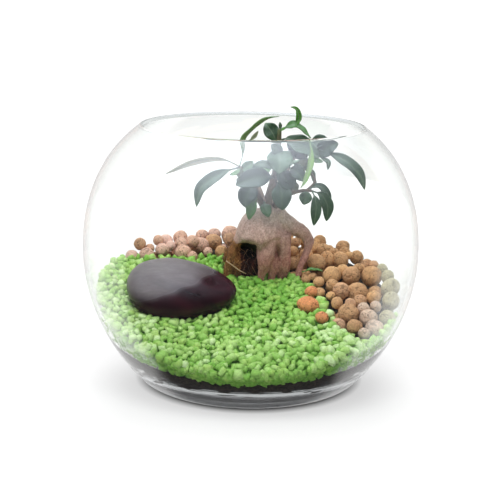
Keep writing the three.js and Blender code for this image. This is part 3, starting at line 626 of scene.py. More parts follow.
place = object_place(tree)
speckles = noise_at(tree, place, 900, 6, 0.75)
lines = noise_at(tree, stretched(tree, place, (1.5, 1.5, 1)), 330, 8, 0.75, 0.5)
patches = noise_at(tree, place, 55, 4)
spot = parts_of(tree, place)
warped = math_of(tree, "ADD", spot["Z"], ranged(tree, patches, 0.3, 0.7, -0.006, 0.006))
browned = ranged(tree, warped, *BROWNED)
skin = mixed(tree, browned, colours_of(tree, lines, BROWN_SKIN), colours_of(tree, lines, GREY_SKIN))
flecked = dappled(tree, skin, speckles, 0.32, 0.62, 0.55, 1.2)
low_down = ranged(tree, warped, (PEAT_ON_LEG[0] + 1.5) * MM, (PEAT_ON_LEG[0] - 2.5) * MM)
leftward = ranged(tree, spot["X"], (PEAT_ON_LEG[1] + 1.5) * MM, (PEAT_ON_LEG[1] - 1.5) * MM)
peaty = sharpened(tree, math_of(tree, "MULTIPLY", low_down, leftward), speckles)
feed(tree, shader.inputs["Base Color"], mixed(tree, peaty, flecked, peat_colours(tree, place)[0]))
raise_relief(tree, shader, math_of(tree, "ADD", lines, speckles), 0.75, 0.0007)
rubbed(tree, shader, 0.62, 0.3)

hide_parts("trunk")

# ---- root ball ---------------------------------------------------------------------------------
# Fibrous black-brown peat that stayed between the trunk's legs when it was repotted. Fine roots mat it
# and stand off it, amber where the light reaches them, and one pale root runs down across its face.

BALL_CENTRE = Vector((-5, 45, 74.5))
BALL_HALF = Vector((15, 12, 18.5))
FIBRES = 210
FIBRE_COLOURS = [
    (0, (0.02, 0.008, 0.004)), (0.45, (0.11, 0.045, 0.015)), (0.8, (0.30, 0.14, 0.05)), (1, (0.5, 0.34, 0.2)),
]
PALE_ROOT = [
    (-18.3, 31.5, 78.5, 0.42), (-12.9, 31, 74.8, 0.5), (-7.7, 31, 71.1, 0.45), (-3.2, 31.5, 68.8, 0.3),
]


def dice(seed):
    """Pseudo-random numbers from 0 to 1, the same ones that the solids' source draws."""
    state = seed
    while True:
        state = (state * 1664525 + 1013904223) & 0xFFFFFFFF
        yield state / 4294967296


def any_way(roll):
    """A step in any direction, of up to a half along each axis."""
    return Vector((next(roll) - 0.5, next(roll) - 0.5, next(roll) - 0.5))


def kept_as(tree, name):
    """The value that a mesh keeps at each of its vertices under a name."""
    node = tree.nodes.new("ShaderNodeAttribute")
    node.attribute_name = name
    return node.outputs["Fac"]


ball = bmesh.new()
bmesh.ops.create_icosphere(ball, subdivisions=6, radius=1)
for vertex in ball.verts:
    way = vertex.co.normalized()
    lump = 1 + 0.12 * noise.noise(way * 2.2) + 0.07 * noise.noise(way * 6) + 0.03 * noise.noise(way * 17)
    vertex.co = (BALL_CENTRE + Vector(a * b for a, b in zip(way, BALL_HALF)) * lump * 0.97) * MM

peat, tree, shader = plain_finish("fibrous_peat")
peat_colour, fibres = peat_colours(tree, object_place(tree))
feed(tree, shader.inputs["Base Color"], peat_colour)
raise_relief(tree, shader, fibres, 1.0, 0.0016)
rubbed(tree, shader, 0.85, 0.2)

root_ball = piece_of("root_ball_peat", ball, [peat])
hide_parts("root_ball")

fibre_skin, tree, shader = plain_finish("root_fibre")
fibre_colour = colours_of(tree, kept_as(tree, "tint"), FIBRE_COLOURS)
streaks = noise_at(tree, object_place(tree), 1500, 4)
feed(tree, shader.inputs["Base Color"], dappled(tree, fibre_colour, streaks, 0.3, 0.7, 0.6, 1.2))
shader.inputs["Roughness"].default_value = 0.6

fibre_mesh = bmesh.new()
tints = fibre_mesh.verts.layers.float.new("tint")
roll = dice(77)
strands = [(PALE_ROOT, 1.0)]
for _ in range(FIBRES):
    angle, lift = math.tau * next(roll), 2 * next(roll) - 1
    heading = Vector((next(roll) - 0.5, next(roll) - 0.5, next(roll) - 0.75)).normalized()
    spot = Vector((math.cos(angle), math.sin(angle), lift * 1.1)).normalized()
    radius = 0.13 + 0.22 * next(roll) ** 2
    strand = []
    for step in range(5):
        off = 1.0 + 0.07 * next(roll) + 0.05 * step * next(roll)
        body = Vector(a * b for a, b in zip(spot, BALL_HALF)) * off
        strand.append((*(BALL_CENTRE + body), radius * (1 - 0.15 * step)))
        spot = (spot + heading * 0.17 + any_way(roll) * 0.16).normalized()
    strands.append((strand, 0.85 * next(roll)))
for strand, shade in strands:
    start = len(fibre_mesh.verts)
    add_limb(fibre_mesh, strand, 5, 1.0, 2)
    fibre_mesh.verts.ensure_lookup_table()
    for vertex in fibre_mesh.verts[start:]:
        vertex[tints] = shade
bmesh.ops.recalc_face_normals(fibre_mesh, faces=fibre_mesh.faces)
fibre_piece = piece_of("root_fibres", fibre_mesh, [fibre_skin])
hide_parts("root_ball")

# ---- black stone -------------------------------------------------------------------------------
# A polished pebble of black stone, blunt on the left, leaning back in the gravel. Its black is brown-red
# where light gets into it, and its broad top has a shallow wave, a crease, and a film of dust whose grey is
# also a painted sheen.

STONE_CENTRE = Vector((-49.2, -9, 67))
STONE_HALF = Vector((39.6, 29, 15.5))
STONE_TAPER = 0.22
STONE_TURNS = [("Z", 5), ("Y", 5.5), ("X", 23)]
# The ways from its middle to its marks.
STONE_DENT = Vector((0.62, -0.1, 0.78)).normalized()  # a shallow dent near its narrow end
STONE_CREASE = Vector((-0.08, -0.12, 1)).normalized()  # a short shallow crease in the middle of its top
STONE_BELLY = Vector((0.62, -0.5, -0.6)).normalized()  # its fullest place, low on the right
DUST_AND_SHEEN_WAY = Vector((-0.62, 0.35, 0.76))  # dust dulls the side that faces up, back and left, and a painted grey sheen lightens it
STONE_BLACK = [(0.35, (0.008, 0.0015, 0.003)), (0.6, (0.026, 0.004, 0.008)), (0.8, (0.06, 0.011, 0.017))]
STONE_DUST_AND_SHEEN = [(0.3, (0.08, 0.066, 0.066)), (0.55, (0.125, 0.106, 0.106)), (0.75, (0.18, 0.155, 0.155))]

stone_mesh = bmesh.new()
dust_and_sheen = stone_mesh.verts.layers.float.new("dust_and_sheen")
bmesh.ops.create_icosphere(stone_mesh, subdivisions=6, radius=1)
for vertex in stone_mesh.verts:
    way = vertex.co.normalized()
    narrow = 1 - STONE_TAPER * way.x
    worn = 1 + 0.02 * noise.noise(way * 1.7 + Vector((4, 0, 2)))
    dent = 1 - 0.05 * smooth_share(1 - (way - STONE_DENT).length / 0.35)
    wave = 1 + 0.012 * math.sin(way.x * 9 + 4 * way.y) * smooth_share(way.z * 1.5)
    crease = way - STONE_CREASE
    wave -= 0.018 * smooth_share(1 - math.hypot(crease.x / 0.24, crease.y / 0.08))
    belly = 1 + 0.07 * smooth_share(1 - (way - STONE_BELLY).length / 0.8)
    body = Vector((way.x * STONE_HALF.x, way.y * STONE_HALF.y * narrow, way.z * STONE_HALF.z * narrow))
    vertex.co = body * worn * dent * wave * belly * MM
    facing = way.dot(DUST_AND_SHEEN_WAY) + 0.12 * noise.noise(way * 2.5 + Vector((1, 5, 0)))
    tip = smooth_share((0.75 - way.x - 0.25 * way.y) / 0.1)
    edge, spread = smooth_share((facing - 0.3) / 0.12), smooth_share((facing - 0.35) / 0.55)
    vertex[dust_and_sheen] = (0.35 * edge + 0.65 * spread) * tip
for axis, degrees in STONE_TURNS:
    tilt = Matrix.Rotation(math.radians(degrees), 3, axis)
    bmesh.ops.rotate(stone_mesh, verts=stone_mesh.verts, cent=(0, 0, 0), matrix=tilt)
bmesh.ops.translate(stone_mesh, verts=stone_mesh.verts, vec=STONE_CENTRE * MM)
stone_tree = BVHTree.FromBMesh(stone_mesh)

polished_stone, tree, shader = plain_finish("polished_black_stone")
place = object_place(tree)
clouds = noise_at(tree, stretched(tree, place, (0.5, 1, 1)), 46, 7, 0.6, 0.8)
scuffs = noise_at(tree, stretched(tree, place, (0.3, 1, 1)), 300, 8, 0.75)
dust_and_sheen_film = kept_as(tree, "dust_and_sheen")
# painted sheen: the grey mixed in where the dust lies also paints the light mirrored on the stone's top
thin = math_of(tree, "MULTIPLY", dust_and_sheen_film, ranged(tree, clouds, 0.3, 0.65, 0.55, 1))
black, dust_and_sheen_grey = colours_of(tree, clouds, STONE_BLACK), colours_of(tree, scuffs, STONE_DUST_AND_SHEEN)
feed(tree, shader.inputs["Base Color"], mixed(tree, thin, black, dust_and_sheen_grey))
rubbed(tree, shader, ranged(tree, dust_and_sheen_film, 0, 1, 0.22, 0.38), ranged(tree, dust_and_sheen_film, 0, 0.5, 0.16, 0.42))
raise_relief(tree, shader, scuffs, 0.12, 0.0003)

stone = piece_of("polished_stone", stone_mesh, [polished_stone])
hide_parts("black_stone")

# ---- clay pebbles ------------------------------------------------------------------------------
# Expanded clay, fired until it puffs up: round brown pebbles of 9 to 17 mm with a dull pitted skin
# and a crack or two. They were poured in behind the plant and down the right side, and three of them
# rolled into the gravel.

DRESSING_LEVEL = 56.0
DISH = 0.00095
CLAY_BANK = 11.0
CLAY_BANK_RUN = 22.0
CLAY_LEVEL = 88.0
CLAY_EDGE = [
    (-120, 33), (-87, 52), (-62, 60), (-40, 66), (-15, 71), (8, 64), (30, 43),
    (46, 21), (53, 0), (56, -20), (62, -42), (74, -57), (108, -78),
]
PEBBLE_LEAST = 4.8
PEBBLE_MOST = 8.6
PEBBLE_TRIES = 900
PEBBLE_SPOTS = 24
PEBBLE_UNDER = 9.0  # how far under the pile's face the plain ones end
PEBBLE_CLEAR = 1.5
# The pebbles at the pile's face, as (x, y, z, radius).
FACE_PEBBLES = [
    (72.7, 79.2, 80.3, 5.3), (82.5, 63.9, 75.3, 5.5), (76.4, 60.3, 77.7, 3.2), (69, 54.7, 75.2, 6.4),
    (64.4, 62.8, 77.9, 4.8), (56.9, 67.7, 79.3, 5.7), (49.4, 73.8, 79.6, 5.5), (51.5, 80.4, 83, 3.1),
    (50.3, 47.7, 74.6, 6.8), (58.8, 54, 76.2, 5.6), (61.3, 32, 68.6, 6.9), (70.2, 40.8, 70.1, 4.9),
    (75.9, 31.9, 68.5, 7.2), (89.3, 51.6, 71.4, 5.4), (82.6, 42.5, 70.9, 4.7), (94.1, 45.5, 73.6, 3.9),
    (91.8, 34.7, 67.5, 8.1), (100.3, 40.7, 71.3, 4.8), (103.6, 28.4, 68.9, 5.1), (103.8, 10.2, 65, 7.3),
    (102.8, -4.7, 59.2, 6.7), (97, -29.1, 53.1, 5.9), (66.7, 7.4, 62.8, 6.4), (79, 11, 60.5, 8.1),
    (90.3, 0.5, 60, 5.4), (90.2, -14.7, 57.6, 4.3), (81, -18.3, 56.6, 4.8), (70.1, -22.9, 54.3, 7.4),
    (84, -26.9, 52.6, 6.4), (56.9, -16.5, 50.7, 4.5), (62.5, -33.2, 48.2, 5.7), (73.3, -38.4, 49.3, 5.6),
    (86.7, -41.2, 49.1, 6.4), (78.8, -49.2, 48, 4), (72, -14, 58.9, 4.2), (41.7, 39.7, 66.3, 4.5),
    (35.1, 76.8, 83.5, 4), (33.3, 66.1, 78.9, 4), (32.3, 56.6, 70.9, 5), (-72.5, 73.6, 84, 4.3),
    (-78.6, 67.2, 79, 3.6), (-69, 68.1, 77.9, 5.5), (-62.8, 73.4, 79.9, 4.1), (-80.5, 60, 75.3, 5.8),
    (-54.4, 77, 81, 5.3), (-45.8, 79.1, 82.8, 5.1), (-39.9, 86.1, 77.5, 7), (-52.5, 68.5, 76.1, 6.1),
    (-29.7, 91.8, 79.6, 6.7), (-16.8, 106.3, 82.5, 7.2), (-23.1, 78.3, 74.7, 4.9), (-45.1, 64.4, 73.5, 4.2),
    (-33.6, 74.8, 75.3, 3.6), (51, 21.2, 66, 4.1), (51.4, 10.4, 60.5, 4), (62.7, -10.5, 58.7, 4.4),
    (41.8, 31.3, 65.6, 3.6), (47, 32.5, 67.4, 3.2), (59, 2.5, 60.4, 3.3),
]
# The loose ones, as (x, y, half length, half width, turn).
LOOSE_PEBBLES = [(42, -10, 8.4, 6.2, -30), (45, 9, 5, 4.2, 20), (51, -29, 4.8, 4.2, -25)]
LOOSE_RISE = 1.5
REFLECTION_GREYED_RIGHT, REFLECTION_GREYED_FRONT = 78, -12  # painted reflection: the pebbles are painted greyer towards the glass on the front right
REFLECTION_GREY_GREEN_RIGHT = 95  # and painted grey-green against it
CLAY_COLOURS = [  # dull grey-green, which is painted reflection, pink, brown, gold, and the red of the loose ones
    (0, (0.43, 0.39, 0.24)), (0.05, (0.80, 0.54, 0.46)), (0.25, (0.67, 0.41, 0.30)),
    (0.45, (0.52, 0.30, 0.16)), (0.75, (0.69, 0.41, 0.20)), (0.9, (0.62, 0.31, 0.17)),
    (1, (0.70, 0.29, 0.13)),
]


def gravel_top(x, y):
    return DRESSING_LEVEL + BANK_SLOPE * y + DISH * x * x


def depth_in_clay(x, y):
    """How far a place lies behind the line where the clay pebbles begin, seen from above."""
    k = 0
    while k < len(CLAY_EDGE) - 2 and x > CLAY_EDGE[k + 1][0]:
        k += 1
    (x0, y0), (x1, y1) = CLAY_EDGE[k], CLAY_EDGE[k + 1]
    slope = (y1 - y0) / (x1 - x0)
    return (y - y0 - slope * (x - x0)) / math.hypot(1, slope)


def clay_top(x, y):
    bank = CLAY_BANK * (1 - smooth_share((x - 40) / 60))
    return min(CLAY_LEVEL, gravel_top(x, y) + bank * smooth_share(depth_in_clay(x, y) / CLAY_BANK_RUN))


def clear_of_trunk(x, y, z, radius):
    return all(math.dist((x, y, z), s[:3]) > radius + s[3] + 1 for limb in TRUNK_LIMBS for s in limb)


def drop_pebbles(placed, roll, height):
    """Drops pebbles one by one: each tries several spots, takes the lowest, and rests on what is there."""
    for _ in range(PEBBLE_TRIES):
        radius = PEBBLE_LEAST + (PEBBLE_MOST - PEBBLE_LEAST) * next(roll) ** 1.4
        best = None
        for _ in range(PEBBLE_SPOTS):
            angle = math.tau * next(roll)
            out = BOWL_RADIUS * math.sqrt(next(roll))
            x, y = out * math.cos(angle), out * math.sin(angle)
            if depth_in_clay(x, y) < radius * 0.4:
                continue
            z = soil_top(y) + radius
            for px, py, pz, other in placed:
                away = math.hypot(x - px, y - py)
                if away < radius + other:
                    z = max(z, pz + math.sqrt((radius + other) ** 2 - away ** 2))
            if z > WIDEST_HEIGHT or out + radius > outer_radius(z) - WALL - PEBBLE_CLEAR:
                continue
            if z + radius > clay_top(x, y) + height or not clear_of_trunk(x, y, z, radius):
                continue
            if best is None or z < best[2]:
                best = (x, y, z, radius)
        if best:
            placed.append(best)


def pebble_mesh(halves, seed, fine):
    """One puffed pebble in millimetres: a round body with soft dents and a few deep pits."""
    body = bmesh.new()
    bmesh.ops.create_icosphere(body, subdivisions=fine, radius=1)
    shift = Vector((seed * 3.7, seed * 1.9, seed * 5.3))
    for vertex in body.verts:
        way = vertex.co.normalized()
        dents = 0.06 * noise.noise(way * 1.5 + shift) + 0.03 * noise.noise(way * 4 + shift)
        pit = noise.noise(way * 3.4 - shift)
        deep = -0.13 * smooth_share((pit - 0.45) / 0.12)
        rough = 0.014 * noise.noise(way * 12 + shift)
        vertex.co = Vector(a * b for a, b in zip(way, halves)) * (1 + dents + deep + rough)
    data = bpy.data.meshes.new("pebble")
    body.to_mesh(data)
    body.free()
    return data


def any_turn(roll):
    flat = Matrix.Rotation(math.tau * next(roll), 4, "Z")
    tip = Matrix.Rotation(math.tau * next(roll), 4, "X")
    return flat @ tip @ Matrix.Rotation(math.tau * next(roll), 4, "Z")


def heap(name, parts, materials):
    """One piece of many small bodies, each a mesh in millimetres, its turn, its place and its tint."""
    mesh = bmesh.new()
    tint_of_corners = []
    for body, turn, centre, tint in parts:
        whole = Matrix.Translation(Vector(centre) * MM) @ Matrix.Scale(MM, 4) @ turn
        body.transform(whole)
        mesh.from_mesh(body, vertex_normals=False)
        body.transform(whole.inverted())
        tint_of_corners += [tint] * len(body.vertices)
    piece = piece_of(name, mesh, materials)
    piece.data.attributes.new("tint", "FLOAT", "POINT").data.foreach_set("value", tint_of_corners)
    return piece


clay, tree, shader = plain_finish("fired_clay")
place = object_place(tree)
clay_colour = colours_of(tree, kept_as(tree, "tint"), CLAY_COLOURS)
grit = noise_at(tree, place, 800, 8, 0.7)
soot = noise_at(tree, place, 150, 5, 0.6)
pits = tree.nodes.new("ShaderNodeTexVoronoi")
feed(tree, pits.inputs["Scale"], 420)
feed(tree, pits.inputs["Vector"], place)
pit_shade = ranged(tree, pits.outputs["Distance"], 0.12, 0.26, 0.35, 1)
cracks = tree.nodes.new("ShaderNodeTexVoronoi")
cracks.feature = "DISTANCE_TO_EDGE"
bent = tree.nodes.new("ShaderNodeVectorMath")
bent.operation = "MULTIPLY_ADD"
wander = noise_at(tree, place, 90, 3).node  # its colour leads the cracks off their straight lines
for socket, given in zip(bent.inputs, (wander.outputs["Color"], (0.02, 0.02, 0.02), place)):
    feed(tree, socket, given)
feed(tree, cracks.inputs["Scale"], 62)
feed(tree, cracks.inputs["Vector"], bent.outputs["Vector"])
crack_shade = ranged(tree, cracks.outputs["Distance"], 0.008, 0.022, 0.55, 1)
# painted shade: the pits and cracks are painted darker, and they raise the bumps as well
pit_and_crack_shade = math_of(tree, "MULTIPLY", pit_shade, crack_shade)
sooty = dappled(tree, clay_colour, soot, 0.3, 0.7, 0.85, 1.15)
grained = dappled(tree, sooty, grit, 0.3, 0.7, 0.68, 1.28)
feed(tree, shader.inputs["Base Color"], mixed(tree, 1, grained, pit_and_crack_shade, "MULTIPLY"))
raise_relief(tree, shader, math_of(tree, "MULTIPLY", grit, pit_and_crack_shade), 0.9, 0.0009)
rubbed(tree, shader, 0.85, 0.25)

loose_balls = [(x, y, gravel_top(x, y) + LOOSE_RISE, long + 1) for x, y, long, wide, angle in LOOSE_PEBBLES]
roll = dice(11)
pebbles = loose_balls[:]
drop_pebbles(pebbles, roll, -PEBBLE_UNDER)
under_others = len(pebbles)
pebbles += FACE_PEBBLES
drop_pebbles(pebbles, roll, 1)
look = dice(23)
heaps = {"clay_pebbles_below": [], "clay_pebbles_face": []}
for number, (x, y, z, radius) in enumerate(pebbles[len(LOOSE_PEBBLES):], len(LOOSE_PEBBLES)):
    below = number < under_others
    halves = [radius * s for s in (1 + 0.1 * next(look), 1, 1 - 0.08 * next(look))]
    body = pebble_mesh(halves, number, 2 if below else 4)
    # from pink-brown on the left to golden brown on the right; the paler pink on the left is partly painted
    # light
    shade = 0.05 + 0.42 * next(look) + 0.36 * smooth_share((x + 40) / 70)
    # painted reflection: towards the glass at the front right the pebbles are painted greyer, and grey-green
    # against it
    shade -= 0.22 * smooth_share((-5 - y) / 40) * smooth_share(x / 40)
    if x > REFLECTION_GREYED_RIGHT and y < REFLECTION_GREYED_FRONT:
        shade = 0.03
    if x > REFLECTION_GREY_GREEN_RIGHT:
        shade = 0.0
    pile = heaps["clay_pebbles_below" if below else "clay_pebbles_face"]
    pile.append((body, any_turn(look), (x, y, z), shade))
for name, parts in heaps.items():
    pile = heap(name, parts, [clay])
    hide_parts("clay_pebbles")

for number, (x, y, long, wide, angle) in enumerate(LOOSE_PEBBLES):
    body = pebble_mesh((long, wide, wide), 61 + number, 5)
    turned = Matrix.Rotation(math.radians(angle), 4, "Z")
    centre = (x, y, gravel_top(x, y) + LOOSE_RISE)
    loose = heap(f"loose_clay_pebble_{number + 1}", [(body, turned, centre, 1.0)], [clay])
    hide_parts(f"loose_pebble_{number + 1}")

# ---- green gravel ------------------------------------------------------------------------------
# Coloured aquarium gravel of 4 to 6 mm, tumbled chips, poured over the soil as a dressing. The grains are a
# fresh mid green; painted shade makes them deeper near the trunk and low at the glass, painted light makes
# them paler in front, and painted reflection paler at the sides.

GRAIN_LEAST = 1.9
GRAIN_MOST = 2.9
GRAIN_TRIES = 13000
GRAIN_SPOTS = 5
GRAVEL_DEPTH = 8.0
CELL = 2 * GRAIN_MOST
CHIP_SHAPES = 24
EDGE_GRAINS = 420  # pressed against the glass, where the bed is seen from the side
EDGE_REACH = 98.0
GRAVEL_REACH = 114.0
DEEP_AT_GLASS = 13.0  # within this of the wall, the grains go down to the soil
GRAIN_PROUD = 2.4
SETTLED = 0.9  # the grains lie closer than balls of their size would
BED_SINK = 3.6  # the shaded grains under the top ones, as one sheet
CHIP_SWELL = 1.24  # the grains close up more than the balls that they were dropped as
GREEN_COLOURS = [
    (0, (0.11, 0.30, 0.028)), (0.3, (0.185, 0.40, 0.058)), (0.6, (0.28, 0.50, 0.11)),
    (0.8, (0.37, 0.575, 0.17)), (0.93, (0.45, 0.65, 0.25)), (1, (0.56, 0.74, 0.36)),
]
YELLOWED = (0.40, 0.56, 0.13)
SHADED_GREEN = [(0.35, (0.06, 0.19, 0.026)), (0.7, (0.17, 0.38, 0.075))]


def in_solid(tree_of_faces, point, margin):
    nearest, normal, _, away = tree_of_faces.find_nearest(point * MM)
    return away < margin * MM or (point * MM - nearest).dot(normal) < 0


trunk_tree = BVHTree.FromBMesh(trunk_skin)
solids = [stone_tree, trunk_tree]


def grain_bed():
    """Grains dropped as the pebbles are, down to the soil at the glass and a few layers deep elsewhere."""
    roll = dice(7)
    placed = []
    cells = {}
    big = [ball for ball in pebbles if depth_in_clay(*ball[:2]) < 2 * PEBBLE_MOST]
    for _ in range(GRAIN_TRIES):
        radius = GRAIN_LEAST + (GRAIN_MOST - GRAIN_LEAST) * next(roll)
        best = None
        for _ in range(GRAIN_SPOTS):
            angle = math.tau * next(roll)
            out = BOWL_RADIUS * math.sqrt(next(roll))
            x, y = out * math.cos(angle), out * math.sin(angle)
            if depth_in_clay(x, y) > 1 or out > GRAVEL_REACH:
                continue
            top = gravel_top(x, y)
            at_glass = out > outer_radius(top) - DEEP_AT_GLASS
            z = soil_top(y) + radius if at_glass else max(soil_top(y) + radius, top - GRAVEL_DEPTH)
            i, j = int(x // CELL), int(y // CELL)
            near = [g for a in (-1, 0, 1) for b in (-1, 0, 1) for g in cells.get((i + a, j + b), ())]
            near += big if depth_in_clay(x, y) > -PEBBLE_MOST * 2 else loose_balls
            for px, py, pz, other in near:
                away = math.hypot(x - px, y - py)
                touch = (radius + other) * SETTLED
                if away < touch:
                    z = max(z, pz + math.sqrt(touch ** 2 - away ** 2))
            if z + radius > top + GRAIN_PROUD or out + radius > outer_radius(z) - WALL:
                continue
            if best is None or z < best[2]:
                best = (x, y, z, radius)
        if best and not any(in_solid(t, Vector(best[:3]), best[3] * 0.6) for t in solids):
            placed.append(best)
            cells.setdefault((int(best[0] // CELL), int(best[1] // CELL)), []).append(best)
    for _ in range(EDGE_GRAINS):
        radius = GRAIN_LEAST + 0.5 * (GRAIN_MOST - GRAIN_LEAST) * next(roll)
        angle = math.radians(-165 + 150 * next(roll))
        x, y = EDGE_REACH * math.cos(angle), EDGE_REACH * math.sin(angle)
        z = soil_top(y) + radius + next(roll) * (gravel_top(x, y) - soil_top(y) - 2 * radius)
        out = outer_radius(z) - WALL - 1.35 * radius
        placed.append((out * math.cos(angle), out * math.sin(angle), z, radius))
    return placed


def chip_shape(seed):
    """A chip of one millimetre in radius: a cube knocked out of true, cut once, and tumbled half round."""
    chip = bmesh.new()
    bmesh.ops.create_cube(chip, size=1.5)
    roll = dice(seed)
    for vertex in chip.verts:
        vertex.co += any_way(roll) * 0.75
    bmesh.ops.subdivide_edges(chip, edges=chip.edges, cuts=1, use_grid_fill=True)
    for vertex in chip.verts:
        vertex.co = vertex.co.lerp(vertex.co.normalized(), 0.42)
    long, thick = 1.12 + 0.22 * next(roll), 0.8 + 0.15 * next(roll)
    size = 0.8 + 0.36 * next(roll)
    bmesh.ops.scale(chip, verts=chip.verts, vec=(long * size, size, thick * size))
    bmesh.ops.recalc_face_normals(chip, faces=chip.faces)
    data = bpy.data.meshes.new("chip")
    chip.to_mesh(data)
    chip.free()
    return data


green_coat, tree, shader = plain_finish("green_gravel_coat")
place = object_place(tree)
speckle = noise_at(tree, place, 650, 5, 0.6)
yellower = ranged(tree, noise_at(tree, place, 150, 1), 0.52, 0.72, 0.0, 0.45)
green = mixed(tree, yellower, colours_of(tree, kept_as(tree, "tint"), GREEN_COLOURS), YELLOWED)
feed(tree, shader.inputs["Base Color"], dappled(tree, green, speckle, 0.3, 0.7, 0.83, 1.15))
raise_relief(tree, shader, speckle, 0.4, 0.0006)
rubbed(tree, shader, 0.5, 0.35)

chips = [chip_shape(101 + k) for k in range(CHIP_SHAPES)]
grains = grain_bed()
look = dice(31)
beds = [[], []]
for number, (x, y, z, radius) in enumerate(grains):
    turn = any_turn(look) @ Matrix.Scale(radius * CHIP_SWELL, 4)
    chip, shade = chips[int(next(look) * CHIP_SHAPES)], next(look)
    # painted light: grains in front are painted paler, and painted reflection makes them paler at the sides;
    # painted shade: grains sunk below the top at the front and grains by the trunk are painted darker
    paler_by_painted_light = smooth_share((20 - y + 0.6 * abs(x + 10)) / 90) + 0.55 * smooth_share((abs(x + 5) - 42) / 35)
    sunk_painted_shade = smooth_share((gravel_top(x, y) - z - 1) / 4) * smooth_share((-30 - y) / 30)
    trunk_painted_shade = smooth_share((38 - math.hypot(x - 8, y + 6)) / 26)
    tint = (0.04 + 0.62 * shade + 0.35 * paler_by_painted_light) * (1 - 0.62 * sunk_painted_shade) * (1 - 0.4 * trunk_painted_shade)
    beds[number % 2].append((chip, turn, (x, y, z), tint))
for side, parts in enumerate(beds):
    bed = heap(f"green_gravel_{side + 1}", parts, [green_coat])
    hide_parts("green_gravel")

sheet = bmesh.new()
bmesh.ops.create_grid(sheet, x_segments=60, y_segments=60, size=1)
for vertex in sheet.verts:
    x, y = vertex.co.x * BOWL_RADIUS, vertex.co.y * BOWL_RADIUS
    z = gravel_top(x, y) - BED_SINK
    vertex.co = Vector((x, y, z)) * MM
outside = []
for vertex in sheet.verts:
    x, y, z = vertex.co / MM
    wall = outer_radius(max(z, HEEL_HEIGHT)) - WALL
    if math.hypot(x, y) > wall - PEBBLE_CLEAR or depth_in_clay(x, y) > 6:
        outside.append(vertex)
bmesh.ops.delete(sheet, geom=outside, context="VERTS")
bmesh.ops.solidify(sheet, geom=sheet.faces[:], thickness=2 * MM)

shaded_green, tree, shader = plain_finish("shaded_gravel")
murk = noise_at(tree, object_place(tree), 300, 4)
feed(tree, shader.inputs["Base Color"], colours_of(tree, murk, SHADED_GREEN))
shader.inputs["Roughness"].default_value = 0.9
underlayer = piece_of("gravel_underlayer", sheet, [shaded_green])
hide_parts("green_gravel")

# ---- leafy shoots ------------------------------------------------------------------------------
# The grafted ficus: brown twigs with leathery egg-shaped leaves, satin dark green above and paler
# and dull below, each with a pale midrib. Young leaves at the top are a lighter, fresher green, and
# one leaf has dropped onto the pebbles.

# How a leaf lies: the way that its face looks, or the way that its width points.
FRONT = ("face", (0, -1, 0.35))
HALF = ("face", (0, -0.75, 0.75))
TOP = ("face", (0, 0, 1))
SLANTED = ("side", (-0.35, -1, 0.1))
ROLLED = ("side", (0.3, -0.8, -0.5))
UNDER = ("face", (0, -1, -0.35))

